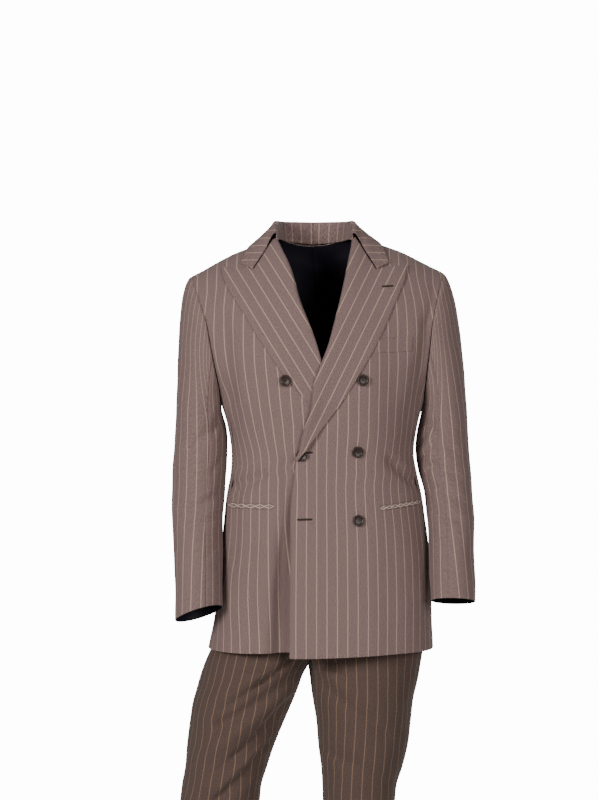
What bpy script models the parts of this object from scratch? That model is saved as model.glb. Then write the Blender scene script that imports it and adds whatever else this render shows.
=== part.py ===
"""Double-breasted striped suit, worn shape: jacket and trousers as cut and sewn pieces.

Metres, +Z up. +X is the wearer's left, the front faces -Y. The origin lies between the
shoulders, level with the base of the neck, where the wearer carries the suit. Each piece of
cloth is a wall laid on one of three surfaces: the jacket's body, a sleeve or a trouser leg.
A wall's visible face is on that surface and its thickness goes inwards.
"""
import math

import bmesh
import bpy
import numpy as np
from mathutils import Vector

CLOTH = 0.0018
SLOPE_STEP = 0.002
SEAM_GAP = 0.0003
HALF_GAP = SEAM_GAP / 2

# The jacket's body
BODY_ROUND = 2.4
FRONT_CROWN = 1.9
BACK_CROWN = 2.3
ARM_BOTTOM = -0.288
SHOULDER_MIDDLE = 0.0035
SHOULDER_TILT = 0.020
HEM = -0.7215
FRONT_SIDE_SEAM = math.radians(147)
BACK_SIDE_SEAM = math.radians(218)
NECK_HALF = 0.070
NECK_DROP = 0.10

# height, middle, half width, front depth, back depth
BODY = (
    (-0.740, 0.0100, 0.2035, 0.1385, 0.141),
    (-0.693, 0.0143, 0.1975, 0.1370, 0.138),
    (-0.660, 0.0166, 0.1940, 0.1350, 0.134),
    (-0.576, 0.0210, 0.1875, 0.1310, 0.124),
    (-0.494, 0.0188, 0.1800, 0.1260, 0.111),
    (-0.450, 0.0180, 0.1740, 0.1230, 0.104),
    (-0.415, 0.0175, 0.1670, 0.1210, 0.100),
    (-0.380, 0.0155, 0.1625, 0.1210, 0.099),
    (-0.335, 0.0150, 0.1674, 0.1250, 0.103),
    (-0.290, 0.0145, 0.1795, 0.1300, 0.110),
    (-0.260, 0.0140, 0.1890, 0.1320, 0.114),
    (-0.220, 0.0120, 0.2075, 0.1350, 0.119),
    (-0.170, 0.0100, 0.2275, 0.1360, 0.124),
    (-0.145, 0.0090, 0.2400, 0.1360, 0.126),
    (-0.100, 0.0065, 0.2620, 0.1360, 0.126),
    (-0.050, 0.0040, 0.2850, 0.1340, 0.124),
    (+0.000, -0.0010, 0.2950, 0.1300, 0.122),
    (+0.040, -0.0020, 0.3000, 0.1300, 0.120),
)
# distance from the shoulders' middle, height of the shoulder seam
SHOULDER = (
    (0.000, 0.0330),
    (0.050, 0.0240),
    (0.070, 0.0155),
    (0.100, 0.0005),
    (0.120, -0.0070),
    (0.147, -0.0170),
    (0.170, -0.0280),
    (0.200, -0.0440),
    (0.225, -0.0565),
    (0.260, -0.0740),
)
# height, distance of the armhole seam from the body's middle
ARMHOLE = (
    (-0.2880, 0.1800),
    (-0.2600, 0.1820),
    (-0.2200, 0.1875),
    (-0.1840, 0.1929),
    (-0.1450, 0.1987),
    (-0.1000, 0.2110),
    (-0.0565, 0.2240),
)
# height, x of the right front's inner edge: its hidden edge, then its roll line up to the neck
RIGHT_EDGE = (
    (-0.7400, 0.0880),
    (-0.4500, 0.0850),
    (-0.4000, 0.0780),
    (-0.3760, 0.0650),
    (-0.3240, 0.0490),
    (-0.2640, 0.0320),
    (-0.2137, 0.0128),
    (-0.1842, 0.0043),
    (-0.1458, -0.0095),
    (-0.1107, -0.0234),
    (-0.0716, -0.0339),
    (-0.0392, -0.0444),
    (-0.0170, -0.0550),
    (+0.0092, -0.0658),
    (+0.0300, -0.0715),
)
# height, x of the left front's inner edge: its lapped edge, then its roll line up to the neck
LEFT_EDGE = (
    (-0.7400, -0.0440),
    (-0.6256, -0.0440),
    (-0.5500, -0.0428),
    (-0.4878, -0.0423),
    (-0.4533, -0.0406),
    (-0.4189, -0.0354),
    (-0.3844, -0.0315),
    (-0.3725, -0.0260),
    (-0.3501, -0.0217),
    (-0.3276, -0.0165),
    (-0.3017, -0.0079),
    (-0.2568, -0.0027),
    (-0.2137, 0.0128),
    (-0.1911, 0.0215),
    (-0.1528, 0.0320),
    (-0.1107, 0.0427),
    (-0.0716, 0.0516),
    (-0.0354, 0.0591),
    (-0.0060, 0.0650),
    (+0.0300, 0.0685),
)
# share of a panel's height below the armhole, how it wraps, what its edges give to the seams
PANEL_SPLIT = 0.66
PANEL_TURN = math.radians(78)
PANEL_SIDE_INSET = 0.0009
PANEL_TOP_INSET = 0.0006
SIDE_PANEL_INSET = 0.0030
LAP_LIFT = 0.0052
LAP_FULL = 0.095
LAP_END = 0.145
LAP_TOP_FULL = -0.195
LAP_TOP_END = -0.110

# Lapels: x and height of each point of the outline, bottom to top
RIGHT_LAPEL_BOTTOM = -0.374
LEFT_LAPEL_BOTTOM = -0.3655
LAPEL_GORGE = 0.0040
ROLL_RADIUS = 0.0034
ROLL_CLEAR = 0.0042
ROLL_START = math.radians(80)
ROLL_SHARE = 0.14
ROLL_PUFF = 0.0045
ROLL_FADE = 0.020
PEAK_LIFT = 0.0012
ROLL_DROP = 0.30
ROLL_REACH = 0.93
RIGHT_LAPEL_EDGE = (
    (-0.3740, 0.0625),
    (-0.3329, 0.0268),
    (-0.2914, -0.0061),
    (-0.2620, -0.0320),
    (-0.2430, -0.0493),
    (-0.2222, -0.0649),
    (-0.1928, -0.0839),
    (-0.1641, -0.1036),
    (-0.1362, -0.1193),
    (-0.1117, -0.1350),
    (-0.0869, -0.1500),
    (-0.0657, -0.1592),
    (-0.0487, -0.1633),
)
LEFT_LAPEL_EDGE = (
    (-0.3655, -0.0185),
    (-0.3451, 0.0009),
    (-0.3226, 0.0182),
    (-0.3001, 0.0355),
    (-0.2758, 0.0528),
    (-0.2482, 0.0701),
    (-0.2222, 0.0857),
    (-0.1980, 0.0995),
    (-0.1720, 0.1133),
    (-0.1513, 0.1237),
    (-0.1240, 0.1355),
    (-0.0960, 0.1477),
    (-0.0657, 0.1594),
    (-0.0430, 0.1638),
)
# distance from the collar's middle, height: where the gorge seam ends and the step begins
GORGE_END = (0.1070, -0.0518)
PEAK_STEP = (0.1300, -0.0468)
COLLAR_CORNER = (0.1300, -0.0412)
GORGE_SHARE = 0.55
STEP_SHARE = 0.78
GORGE_GAP = 0.0009

# Collar: share of its length, distance from the middle, y, height, all on the fold line
COLLAR_MIDDLE = 0.0005
COLLAR_FOLD = (
    (0.00, 0.0675, -0.0470, 0.0125),
    (0.12, 0.0680, -0.0210, 0.0300),
    (0.24, 0.0670, 0.0080, 0.0385),
    (0.37, 0.0520, 0.0500, 0.0410),
    (0.50, 0.0000, 0.0720, 0.0420),
)
# share of the length, distance from the middle, root of how far below the ridge (front < 0)
COLLAR_EDGE = (
    (0.00, 0.1300, -0.318),
    (0.07, 0.1235, -0.230),
    (0.15, 0.1120, 0.000),
    (0.27, 0.0850, 0.238),
    (0.38, 0.0450, 0.330),
    (0.50, 0.0000, 0.355),
)
# share of the length, height of the stand, how far it leans in, how full the leaf is
COLLAR_STAND = (
    (0.00, 0.002, 0.0010, 0.0000),
    (0.12, 0.016, 0.0030, -0.0005),
    (0.24, 0.022, 0.0035, -0.0020),
    (0.37, 0.026, 0.0035, 0.0010),
    (0.50, 0.031, 0.0035, 0.0030),
)
COLLAR_REST = 0.0021
COLLAR_FOLD_RADIUS = 0.0030
COLLAR_STAND_SHARE = 0.28
COLLAR_FOLD_SHARE = 0.40
COLLAR_END_SHARE = 0.13
COLLAR_BEND_SHARE = 0.68
COLLAR_LAPEL_GAP = (0.0018, 0.0012)
NECK_AXIS = (COLLAR_MIDDLE, 0.005, 0.0)
NECK_BELOW = (COLLAR_MIDDLE, 0.0, -0.05)

# Sleeves: height, outer x, inner x, middle y, half depth
RIGHT_SLEEVE = (
    (-0.700, -0.2425, -0.1615, -0.093, 0.0460),
    (-0.660, -0.2431, -0.1617, -0.080, 0.0480),
    (-0.594, -0.2453, -0.1618, -0.058, 0.0520),
    (-0.551, -0.2479, -0.1618, -0.044, 0.0560),
    (-0.487, -0.2527, -0.1618, -0.024, 0.0600),
    (-0.444, -0.2535, -0.1590, -0.012, 0.0620),
    (-0.400, -0.2531, -0.1557, -0.004, 0.0640),
    (-0.365, -0.2506, -0.1545, 0.001, 0.0660),
    (-0.330, -0.2490, -0.1565, 0.004, 0.0680),
    (-0.300, -0.2471, -0.1640, 0.004, 0.0690),
)
LEFT_SLEEVE = (
    (-0.680, 0.2812, 0.2030, -0.105, 0.0460),
    (-0.631, 0.2815, 0.2030, -0.090, 0.0480),
    (-0.594, 0.2822, 0.2020, -0.076, 0.0520),
    (-0.551, 0.2818, 0.2010, -0.061, 0.0560),
    (-0.487, 0.2840, 0.1995, -0.035, 0.0600),
    (-0.444, 0.2825, 0.1950, -0.017, 0.0620),
    (-0.400, 0.2801, 0.1846, -0.004, 0.0640),
    (-0.365, 0.2775, 0.1815, 0.001, 0.0660),
    (-0.330, 0.2757, 0.1855, 0.004, 0.0680),
    (-0.300, 0.2735, 0.1940, 0.004, 0.0690),
)
SLEEVE_HEAD_END = -0.330
SLEEVE_HEAD_SHARE = 0.42
SLEEVE_SEAM_SHARE = 0.0018
# Where the sleeve head heads for at the armhole: mean, and change from the body's side to the outer side
HEAD_OUT = (0.50, 0.40)
HEAD_FORWARD = 0.25
HEAD_DOWN = (-0.72, 0.29)
HEAD_FULLNESS = (0.021, 0.009)
HEAD_EASE = (0.066, 0.054)
RING_STEP = 0.01
# middle height of the cuff, how much its inner side and its front are higher
RIGHT_CUFF = (-0.655, 0.012, 0.013)
LEFT_CUFF = (-0.632, 0.001, 0.010)
FOREARM_SEAM = math.radians(112)
ELBOW_SEAM = math.radians(254)

# Trousers: height, inner x, outer x, front depth, back depth
WAIST_TOP = -0.460
WAIST_BOTTOM = -0.496
LEG_SEAM_SHARE = 0.0008
LEG_ROW_SPREAD = 1.35
HIP_SQUARENESS = 0.9
THIGH_END = 0.86
WAIST_END_ANGLE = 0.002
FLY_TOP_GAP = 0.001
FLY_POINT = (3.0, 0.02)
CROTCH = -0.755
FORK_START = -0.600
TROUSER_HEM = -1.555
RIGHT_LEG = (
    (-1.5600, -0.1580, -0.2820, 0.045, 0.083),
    (-1.3500, -0.1400, -0.2680, 0.052, 0.082),
    (-1.2000, -0.1220, -0.2580, 0.062, 0.078),
    (-1.0800, -0.1080, -0.2500, 0.072, 0.072),
    (-0.9970, -0.0967, -0.2399, 0.077, 0.078),
    (-0.9660, -0.0931, -0.2363, 0.081, 0.081),
    (-0.9380, -0.0842, -0.2310, 0.085, 0.084),
    (-0.8950, -0.0699, -0.2274, 0.090, 0.089),
    (-0.8520, -0.0520, -0.2220, 0.096, 0.096),
    (-0.8182, -0.0376, -0.2166, 0.100, 0.101),
    (-0.8000, -0.0300, -0.2113, 0.102, 0.104),
    (-0.7660, -0.0170, -0.2014, 0.105, 0.110),
    (-0.7550, -0.0108, -0.1975, 0.106, 0.112),
    (-0.7200, -0.0020, -0.1830, 0.108, 0.114),
    (-0.6800, 0.0060, -0.1730, 0.109, 0.114),
    (-0.6200, 0.0150, -0.1580, 0.107, 0.112),
    (-0.5600, 0.0180, -0.1480, 0.104, 0.104),
    (-0.5000, 0.0180, -0.1380, 0.101, 0.094),
    (-0.4500, 0.0180, -0.1310, 0.098, 0.088),
)
LEFT_LEG = (
    (-1.5600, 0.0220, 0.1400, 0.045, 0.083),
    (-1.3500, 0.0220, 0.1390, 0.052, 0.082),
    (-1.2000, 0.0200, 0.1410, 0.062, 0.078),
    (-1.0800, 0.0180, 0.1430, 0.072, 0.072),
    (-0.9970, 0.0152, 0.1449, 0.077, 0.078),
    (-0.9660, 0.0143, 0.1485, 0.081, 0.081),
    (-0.9380, 0.0125, 0.1575, 0.085, 0.084),
    (-0.8950, 0.0071, 0.1682, 0.090, 0.089),
    (-0.8520, 0.0035, 0.1736, 0.096, 0.096),
    (-0.8090, -0.0036, 0.1790, 0.101, 0.103),
    (-0.7910, -0.0060, 0.1834, 0.103, 0.106),
    (-0.7660, -0.0090, 0.1888, 0.105, 0.110),
    (-0.7550, -0.0108, 0.1905, 0.106, 0.112),
    (-0.7200, -0.0020, 0.1955, 0.108, 0.114),
    (-0.6800, 0.0060, 0.1940, 0.109, 0.114),
    (-0.6200, 0.0150, 0.1900, 0.107, 0.112),
    (-0.5600, 0.0180, 0.1840, 0.104, 0.104),
    (-0.5000, 0.0180, 0.1740, 0.101, 0.094),
    (-0.4500, 0.0180, 0.1670, 0.098, 0.088),
)
TRUNK_SHARE = 0.36
# height, x of the centre seam above the crotch
CENTRE_SEAM = (
    (-0.755, -0.0108),
    (-0.720, -0.0020),
    (-0.680, 0.0060),
    (-0.620, 0.0150),
    (-0.560, 0.0180),
    (-0.450, 0.0180),
)

# Creases seen from the front: x and height of both ends, half width, how far it stands out
JACKET_CREASES = (
    (-0.150, -0.430, -0.095, -0.408, 0.0100, -0.0035),
    (-0.145, -0.408, -0.100, -0.392, 0.0090, 0.0025),
    (-0.058, -0.530, -0.062, -0.720, 0.0130, -0.0040),
    (-0.085, -0.530, -0.090, -0.720, 0.0130, 0.0030),
    (0.145, -0.400, 0.190, -0.432, 0.0100, -0.0035),
    (-0.150, -0.150, -0.140, -0.330, 0.0140, -0.0030),
    (0.175, -0.235, 0.165, -0.340, 0.0140, -0.0030),
)
RIGHT_LEG_CREASES = (
    (-0.030, -0.765, -0.165, -0.850, 0.0110, -0.0080),
    (-0.055, -0.740, -0.180, -0.800, 0.0150, 0.0060),
    (-0.045, -0.840, -0.165, -0.940, 0.0110, -0.0080),
    (-0.040, -0.800, -0.175, -0.890, 0.0140, 0.0060),
    (-0.080, -0.915, -0.190, -1.000, 0.0110, -0.0060),
    (-0.070, -0.880, -0.190, -0.955, 0.0130, 0.0045),
)
LEFT_LEG_CREASES = (
    (0.020, -0.780, 0.120, -0.860, 0.0130, -0.0050),
    (0.015, -0.760, 0.140, -0.815, 0.0140, 0.0040),
    (0.035, -0.900, 0.140, -0.955, 0.0120, -0.0050),
)
RIGHT_SLEEVE_CREASES = (
    (-0.180, -0.330, -0.215, -0.365, 0.0100, -0.0045),
    (-0.170, -0.455, -0.235, -0.480, 0.0090, -0.0040),
    (-0.172, -0.490, -0.225, -0.505, 0.0080, -0.0035),
)
LEFT_SLEEVE_CREASES = (
    (0.200, -0.330, 0.240, -0.365, 0.0100, -0.0045),
    (0.200, -0.395, 0.245, -0.410, 0.0090, -0.0045),
    (0.205, -0.435, 0.255, -0.455, 0.0090, -0.0040),
    (0.210, -0.480, 0.250, -0.490, 0.0080, -0.0035),
)

# Buttons: name, x, height, how far the underside stands off the front it is sewn to
BUTTON_RADIUS = 0.0100
BUTTON_THICKNESS = 0.0035
BUTTON_SIDES = 16
SHANK_RADIUS = 0.0020
SHANK_FOOT = 0.0001
BUTTONS = (
    ("button_top_left", 0.0819, -0.2465, 0.0030, "left"),
    ("button_middle_left", 0.0733, -0.3707, 0.0016, "left"),
    ("button_bottom_left", 0.0750, -0.4898, 0.0016, "left"),
    ("button_top_right", -0.0500, -0.2472, 0.0046, "right"),
    ("button_middle_right", -0.0216, -0.3765, 0.0018, "left"),
)
# Applied strips: x and height of the four corners, lower inner first and then round
WELT = ((0.1180, -0.1960), (0.1760, -0.1900), (0.1780, -0.1630), (0.1165, -0.1720))
RIGHT_POCKET = ((-0.0740, -0.4710), (-0.1480, -0.4710), (-0.1480, -0.4615), (-0.0740, -0.4615))
LEFT_POCKET = ((0.1150, -0.4730), (0.1825, -0.4660), (0.1825, -0.4565), (0.1150, -0.4635))
WELT_CLOTH = 0.0016
JET_CLOTH = 0.0010
STRIP_REST = 0.0009
FLY_WIDTH = 0.040
FLY_BOTTOM = -0.640


def read(table, column, at):
    """Smooth value of one column of a table at the given first-column values."""
    rows = np.array(table, dtype=float)
    rows = rows[np.argsort(rows[:, 0])]
    stations, values = rows[:, 0], rows[:, column]
    slopes = np.gradient(values, stations)
    at = np.clip(at, stations[0], stations[-1])
    place = np.clip(np.searchsorted(stations, at) - 1, 0, len(stations) - 2)
    span = stations[place + 1] - stations[place]
    share = (at - stations[place]) / span
    start, end = values[place], values[place + 1]
    rise = (1 - share) ** 2 * (1 + 2 * share) * start + share ** 2 * (3 - 2 * share) * end
    lean = share * (1 - share) ** 2 * slopes[place] - share ** 2 * (1 - share) * slopes[place + 1]
    return rise + lean * span


def ease(value, low, high):
    """0 below low, 1 above high and a soft step between them."""
    share = np.clip((value - low) / (high - low), 0, 1)
    return share * share * (3 - 2 * share)


def stack(x, y, z):
    return np.stack(np.broadcast_arrays(x, y, z), axis=-1)


def creased(x, z, creases):
    """How far the creases in a table push the cloth out at x and z."""
    out = np.zeros(np.broadcast(x, z).shape)
    for x0, z0, x1, z1, width, height in creases:
        run = np.array((x1 - x0, z1 - z0))
        length = math.hypot(*run)
        along = ((x - x0) * run[0] + (z - z0) * run[1]) / length
        aside = ((x - x0) * run[1] - (z - z0) * run[0]) / length
        over = np.maximum(0, np.maximum(-along, along - length))
        out = out + height * np.exp(-(aside / width) ** 2 - (over / (2 * width)) ** 2)
    return out


# The jacket's body surface

def shoulder_height(x):
    return read(SHOULDER, 1, np.abs(x - SHOULDER_MIDDLE)) + SHOULDER_TILT * x


def level_of(x, z):
    """0 at the bottom of the armhole, 1 on the shoulder seam."""
    return np.clip((z - ARM_BOTTOM) / (shoulder_height(x) - ARM_BOTTOM), 0, 1)


def height_at(x, level):
    return ARM_BOTTOM + level * (shoulder_height(x) - ARM_BOTTOM)


def crown(level, power):
    return np.maximum(1 - level ** power, 0) ** (1 / power)


def body_y(x, z, back):
    middle, half = read(BODY, 1, z), read(BODY, 2, z)
    across = np.clip(np.abs(x - middle) / half, 0, 1)
    girth = np.maximum(1 - across ** BODY_ROUND, 0) ** (1 / BODY_ROUND)
    level = level_of(x, z)
    front = -read(BODY, 3, z) * crown(level, FRONT_CROWN)
    rear = read(BODY, 4, z) * crown(level, BACK_CROWN)
    return girth * np.where(back, rear, front)


def body_normal(points):
    """Direction straight out of the body at points on or near it."""
    def field(p):
        x, y, z = p[..., 0], p[..., 1], p[..., 2]
        level = np.clip(level_of(x, z), 0, 0.9999)
        front = read(BODY, 3, z) * crown(level, FRONT_CROWN)
        rear = read(BODY, 4, z) * crown(level, BACK_CROWN)
        depth = np.where(y > 0, rear, front)
        across = np.abs(x - read(BODY, 1, z)) / read(BODY, 2, z)
        return across ** BODY_ROUND + (np.abs(y) / depth) ** BODY_ROUND

    step = 0.0004
    slope = np.zeros(points.shape)
    for axis in range(3):
        move = np.zeros(3)
        move[axis] = step
        slope[..., axis] = field(points + move) - field(points - move)
    return slope / np.maximum(np.linalg.norm(slope, axis=-1, keepdims=True), 1e-12)


def lap_lift(x, z):
    """How far the left front stands off the right one that it laps."""
    return LAP_LIFT * (1 - ease(x, LAP_FULL, LAP_END)) * (1 - ease(z, LAP_TOP_FULL, LAP_TOP_END))


def on_front(x, z, lift):
    """Point of the front at x and height z, lifted off it."""
    x, z, lift = np.broadcast_arrays(x, z, lift)
    points = stack(x, body_y(x, z, False), z)
    inside = 1 - ease(level_of(x, z), 0.80, 0.95)
    out = lift + creased(x, z, JACKET_CREASES) * inside
    return points + body_normal(points) * out[..., None]


def side_angle(angle):
    return np.mod(angle, 2 * math.pi) > math.pi


def armhole(angle, side):
    """Point of the armhole seam: angle 0 at the shoulder, then down the front and up the back."""
    level = (1 + np.cos(angle)) / 2
    z = height_at(SHOULDER_MIDDLE + side * 0.2, level)
    for _ in range(6):
        x = read(BODY, 1, z) + side * np.minimum(read(ARMHOLE, 1, z), read(BODY, 2, z))
        z = height_at(x, level)
    return stack(x, body_y(x, z, side_angle(angle)), z)


def lapel_bottom(side):
    return LEFT_LAPEL_BOTTOM if side > 0 else RIGHT_LAPEL_BOTTOM


def across_share(point):
    """How far out a point of the body lies, as a share of the half width."""
    x, z = point[..., 0], point[..., 2]
    return np.abs(x - read(BODY, 1, z)) / read(BODY, 2, z)


def front_edge(z, side):
    """x of a front's inner edge; along the roll line it makes room for the rolled lapel."""
    table = LEFT_EDGE if side > 0 else RIGHT_EDGE
    bottom = lapel_bottom(side)
    rolled = ease(z, bottom - ROLL_FADE, bottom + ROLL_FADE)
    return read(table, 1, z) + side * ROLL_CLEAR * rolled


def warp(share):
    """Spaces columns closer together towards the side of the body."""
    return np.sin(share * PANEL_TURN) / math.sin(PANEL_TURN)


def panel_grid(u, v, inner, side, back, seam_angle, top_level):
    """x, height of a front or back: u from its inner edge out, v from the hem up."""
    seam_point = armhole(np.array(seam_angle), side)
    seam_share = across_share(seam_point)
    seam_level = (1 + math.cos(seam_angle)) / 2
    spread = warp(u)
    rise = np.clip(v / PANEL_SPLIT, 0, 1)
    z_low = HEM + (seam_point[2] - HEM) * rise
    for _ in range(4):
        start = inner(z_low)
        end = read(BODY, 1, z_low) + side * seam_share * read(BODY, 2, z_low)
        x_low = start + (end - start) * spread
        z_low = HEM + (height_at(x_low, seam_level) - HEM) * rise
    run = np.clip((v - PANEL_SPLIT) / (1 - PANEL_SPLIT), 0, 1)
    shoulder_angle = 2 * math.pi if back else 0.0
    turn = seam_angle + (shoulder_angle - seam_angle) * run
    out_x = armhole(turn, side)[..., 0]
    level = (1 + np.cos(turn)) / 2
    x_high = out_x * spread
    for _ in range(6):
        reach = level * top_level(x_high)
        start = inner(height_at(inner(height_at(x_high, reach)), reach))
        x_high = start + (out_x - start) * spread
    z_high = height_at(x_high, level * top_level(x_high))
    low = v < PANEL_SPLIT
    return np.where(low, x_low, x_high), np.where(low, z_low, z_high)


def full_level(x):
    return np.ones(np.shape(x))


def neck_level(x):
    """The back's neckline dips below the shoulder ridge between the two neck points."""
    share = np.clip(np.abs(x - COLLAR_MIDDLE) / NECK_HALF, 0, 1)
    return 1 - NECK_DROP * (1 - share ** 2)


def place_front(side):
    def inner(z):
        return front_edge(z, side)

    def place(u, v):
        u = u * (1 - PANEL_SIDE_INSET)
        v = v * (1 - PANEL_TOP_INSET)
        x, z = panel_grid(u, v, inner, side, False, FRONT_SIDE_SEAM, full_level)
        lift = lap_lift(x, z) if side > 0 else 0.0
        return on_front(x, z, lift)
    return place


def place_back(side):
    def inner(z):
        return read(BODY, 1, z) + side * HALF_GAP

    def place(u, v):
        u = u * (1 - PANEL_SIDE_INSET)
        v = v * (1 - PANEL_TOP_INSET)
        x, z = panel_grid(u, v, inner, side, True, BACK_SIDE_SEAM, neck_level)
        return stack(x, body_y(x, z, True), z)
    return place


def place_side(side):
    """Side panel under the arm: u from the front seam to the back seam, v from the hem up."""
    def place(u, v):
        u = SIDE_PANEL_INSET + u * (1 - 2 * SIDE_PANEL_INSET)
        turn = FRONT_SIDE_SEAM + (BACK_SIDE_SEAM - FRONT_SIDE_SEAM) * u
        top = armhole(turn, side)
        share = across_share(top)
        z = HEM + (top[..., 2] - HEM) * v
        x = read(BODY, 1, z) + side * share * read(BODY, 2, z)
        back = side_angle(turn)
        return stack(x, body_y(x, z, back), z)
    return place


# Lapels and collar

def gorge_line(share, side, drop):
    """The lapel's top edge, from the roll line down the gorge seam and out to the peak."""
    edge = LEFT_LAPEL_EDGE if side > 0 else RIGHT_LAPEL_EDGE
    start = (front_edge(LAPEL_GORGE, side), LAPEL_GORGE)
    turn = (COLLAR_MIDDLE + side * GORGE_END[0], GORGE_END[1] - drop)
    step = (COLLAR_MIDDLE + side * PEAK_STEP[0], PEAK_STEP[1] - drop)
    peak = (edge[-1][1], edge[-1][0])
    shares = (0.0, GORGE_SHARE, STEP_SHARE, 1.0)
    corners = (start, turn, step, peak)
    x = np.interp(share, shares, [corner[0] for corner in corners])
    z = np.interp(share, shares, [corner[1] for corner in corners])
    return x, z


def lapel_outline(share, v, side):
    """x and height on the lapel: share 0 on the roll line, 1 on its outer edge."""
    edge = LEFT_LAPEL_EDGE if side > 0 else RIGHT_LAPEL_EDGE
    bottom = lapel_bottom(side)
    roll_z = bottom + (LAPEL_GORGE - bottom) * v
    roll_x = front_edge(roll_z, side)
    edge_z = bottom + (edge[-1][0] - bottom) * v
    x = roll_x + (read(edge, 1, edge_z) - roll_x) * share
    z = roll_z + (edge_z - roll_z) * share
    top_x, top_z = gorge_line(share, side, GORGE_GAP)
    flat_x = front_edge(LAPEL_GORGE, side)
    flat_x = flat_x + (edge[-1][1] - flat_x) * share
    flat_z = LAPEL_GORGE + (edge[-1][0] - LAPEL_GORGE) * share
    pull = v ** 5
    return x + (top_x - flat_x) * pull, z + (top_z - flat_z) * pull


def place_lapel(side):
    def place(u, v):
        share = np.clip((u - ROLL_SHARE) / (1 - ROLL_SHARE), 0, 1)
        x, z = lapel_outline(share, v, side)
        turn = ROLL_START + (math.pi - ROLL_START) * np.clip(u / ROLL_SHARE, 0, 1)
        aside = ROLL_CLEAR * np.sin(turn)
        x = x - side * aside * ROLL_REACH
        z = z + aside * ROLL_DROP * (1 - v)
        flat = -CLOTH / 2 - ROLL_RADIUS * np.cos(turn)
        above = ease(v, 0.02, 0.25) if side > 0 else ease(v, 0.48, 0.65)
        puff = ROLL_PUFF * above * np.exp(-(share / 0.35) ** 2) * ease(u, 0.0, ROLL_SHARE)
        tip = PEAK_LIFT * (ease(v, 0.75, 1.0) * ease(share, 0.4, 1.0) + 1 - ease(v, 0.0, 0.08))
        base = lap_lift(x, z) if side > 0 else 0.0
        return on_front(x, z, base + flat + puff + tip)
    return place


def mirrored_share(v):
    return np.minimum(v, 1 - v)


def collar_fold(v):
    side = np.where(v < 0.5, -1.0, 1.0)
    at = mirrored_share(v)
    x = COLLAR_MIDDLE + side * read(COLLAR_FOLD, 1, at)
    return stack(x, read(COLLAR_FOLD, 2, at), read(COLLAR_FOLD, 3, at))


def collar_edge(v, lift):
    side = np.where(v < 0.5, -1.0, 1.0)
    at = mirrored_share(v)
    x = COLLAR_MIDDLE + side * read(COLLAR_EDGE, 1, at)
    drop = read(COLLAR_EDGE, 2, at)
    z = height_at(x, 1 - drop ** 2)
    points = stack(x, body_y(x, z, drop > 0), z)
    return points + body_normal(points) * lift


def place_collar(u, v):
    """u from the stand's seam over the fold to the leaf's edge, v from the right end round."""
    stand_share, fold_share = COLLAR_STAND_SHARE, COLLAR_FOLD_SHARE
    fold = collar_fold(v)
    step = SLOPE_STEP
    ahead = collar_fold(np.clip(v + step, 0, 1)) - collar_fold(np.clip(v - step, 0, 1))
    ahead = ahead / np.linalg.norm(ahead, axis=-1, keepdims=True)
    edge = collar_edge(v, COLLAR_REST)
    fall = edge - fold
    fall = fall / np.linalg.norm(fall, axis=-1, keepdims=True)
    out = np.cross(fall, ahead)
    out = out / np.linalg.norm(out, axis=-1, keepdims=True)
    out = out * np.sign(np.sum(out * (fold - np.array(NECK_BELOW)), axis=-1, keepdims=True))
    at = mirrored_share(v)
    radius = COLLAR_FOLD_RADIUS
    centre = fold + fall * radius
    turn = math.pi * np.clip((u - stand_share) / (fold_share - stand_share), 0, 1)
    curl = centre - out * (radius * np.cos(turn))[..., None] - fall * (radius * np.sin(turn))[..., None]
    share = np.clip((u - fold_share) / (1 - fold_share), 0, 1)
    leaf_start = centre + out * radius
    leaf = leaf_start + (edge - leaf_start) * share[..., None]
    leaf = leaf + out * (read(COLLAR_STAND, 3, at) * np.sin(math.pi * share))[..., None]
    height, lean = read(COLLAR_STAND, 1, at), read(COLLAR_STAND, 2, at)
    below = np.clip(1 - u / stand_share, 0, 1)
    down = np.array((0.0, 0.0, -1.0))
    inwards = -(fold - np.array(NECK_AXIS)) * np.array((1.0, 1.0, 0.0))
    inwards = inwards / np.maximum(np.linalg.norm(inwards, axis=-1, keepdims=True), 1e-9)
    stand = centre - out * radius + (down * height[..., None] + inwards * lean[..., None]) * below[..., None]
    points = np.where((u < stand_share)[..., None], stand, np.where((u < fold_share)[..., None], curl, leaf))
    for side in (-1, 1):
        end = np.array(0.0 if side < 0 else 1.0)
        near = np.clip(1 - (v if side < 0 else 1 - v) / COLLAR_END_SHARE, 0, 1) ** 2
        x0 = front_edge(LAPEL_GORGE, side)
        xs = np.array((x0, COLLAR_MIDDLE + side * GORGE_END[0], COLLAR_MIDDLE + side * COLLAR_CORNER[0]))
        zs = (LAPEL_GORGE + COLLAR_LAPEL_GAP[0], GORGE_END[1] + COLLAR_LAPEL_GAP[1], COLLAR_CORNER[1])
        stops = (0.0, COLLAR_BEND_SHARE, 1.0)
        wanted = on_front(side * np.interp(share, stops, side * xs), np.interp(share, stops, zs), COLLAR_REST)
        end_fold = collar_fold(end)
        end_edge = collar_edge(end, COLLAR_REST)
        straight = end_fold + (end_edge - end_fold) * share[..., None]
        weight = near * ease(share, 0.0, 0.25) * (u >= fold_share)
        points = points + (wanted - straight) * weight[..., None]
    return points


# Sleeves

def sleeve_ring(angle, z, side):
    table = LEFT_SLEEVE if side > 0 else RIGHT_SLEEVE
    outer, inner = read(table, 1, z), read(table, 2, z)
    middle, half = (outer + inner) / 2, np.abs(outer - inner) / 2
    x = middle + side * half * np.cos(angle)
    y = read(table, 3, z) - read(table, 4, z) * np.sin(angle)
    return stack(x, y, z)


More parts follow.
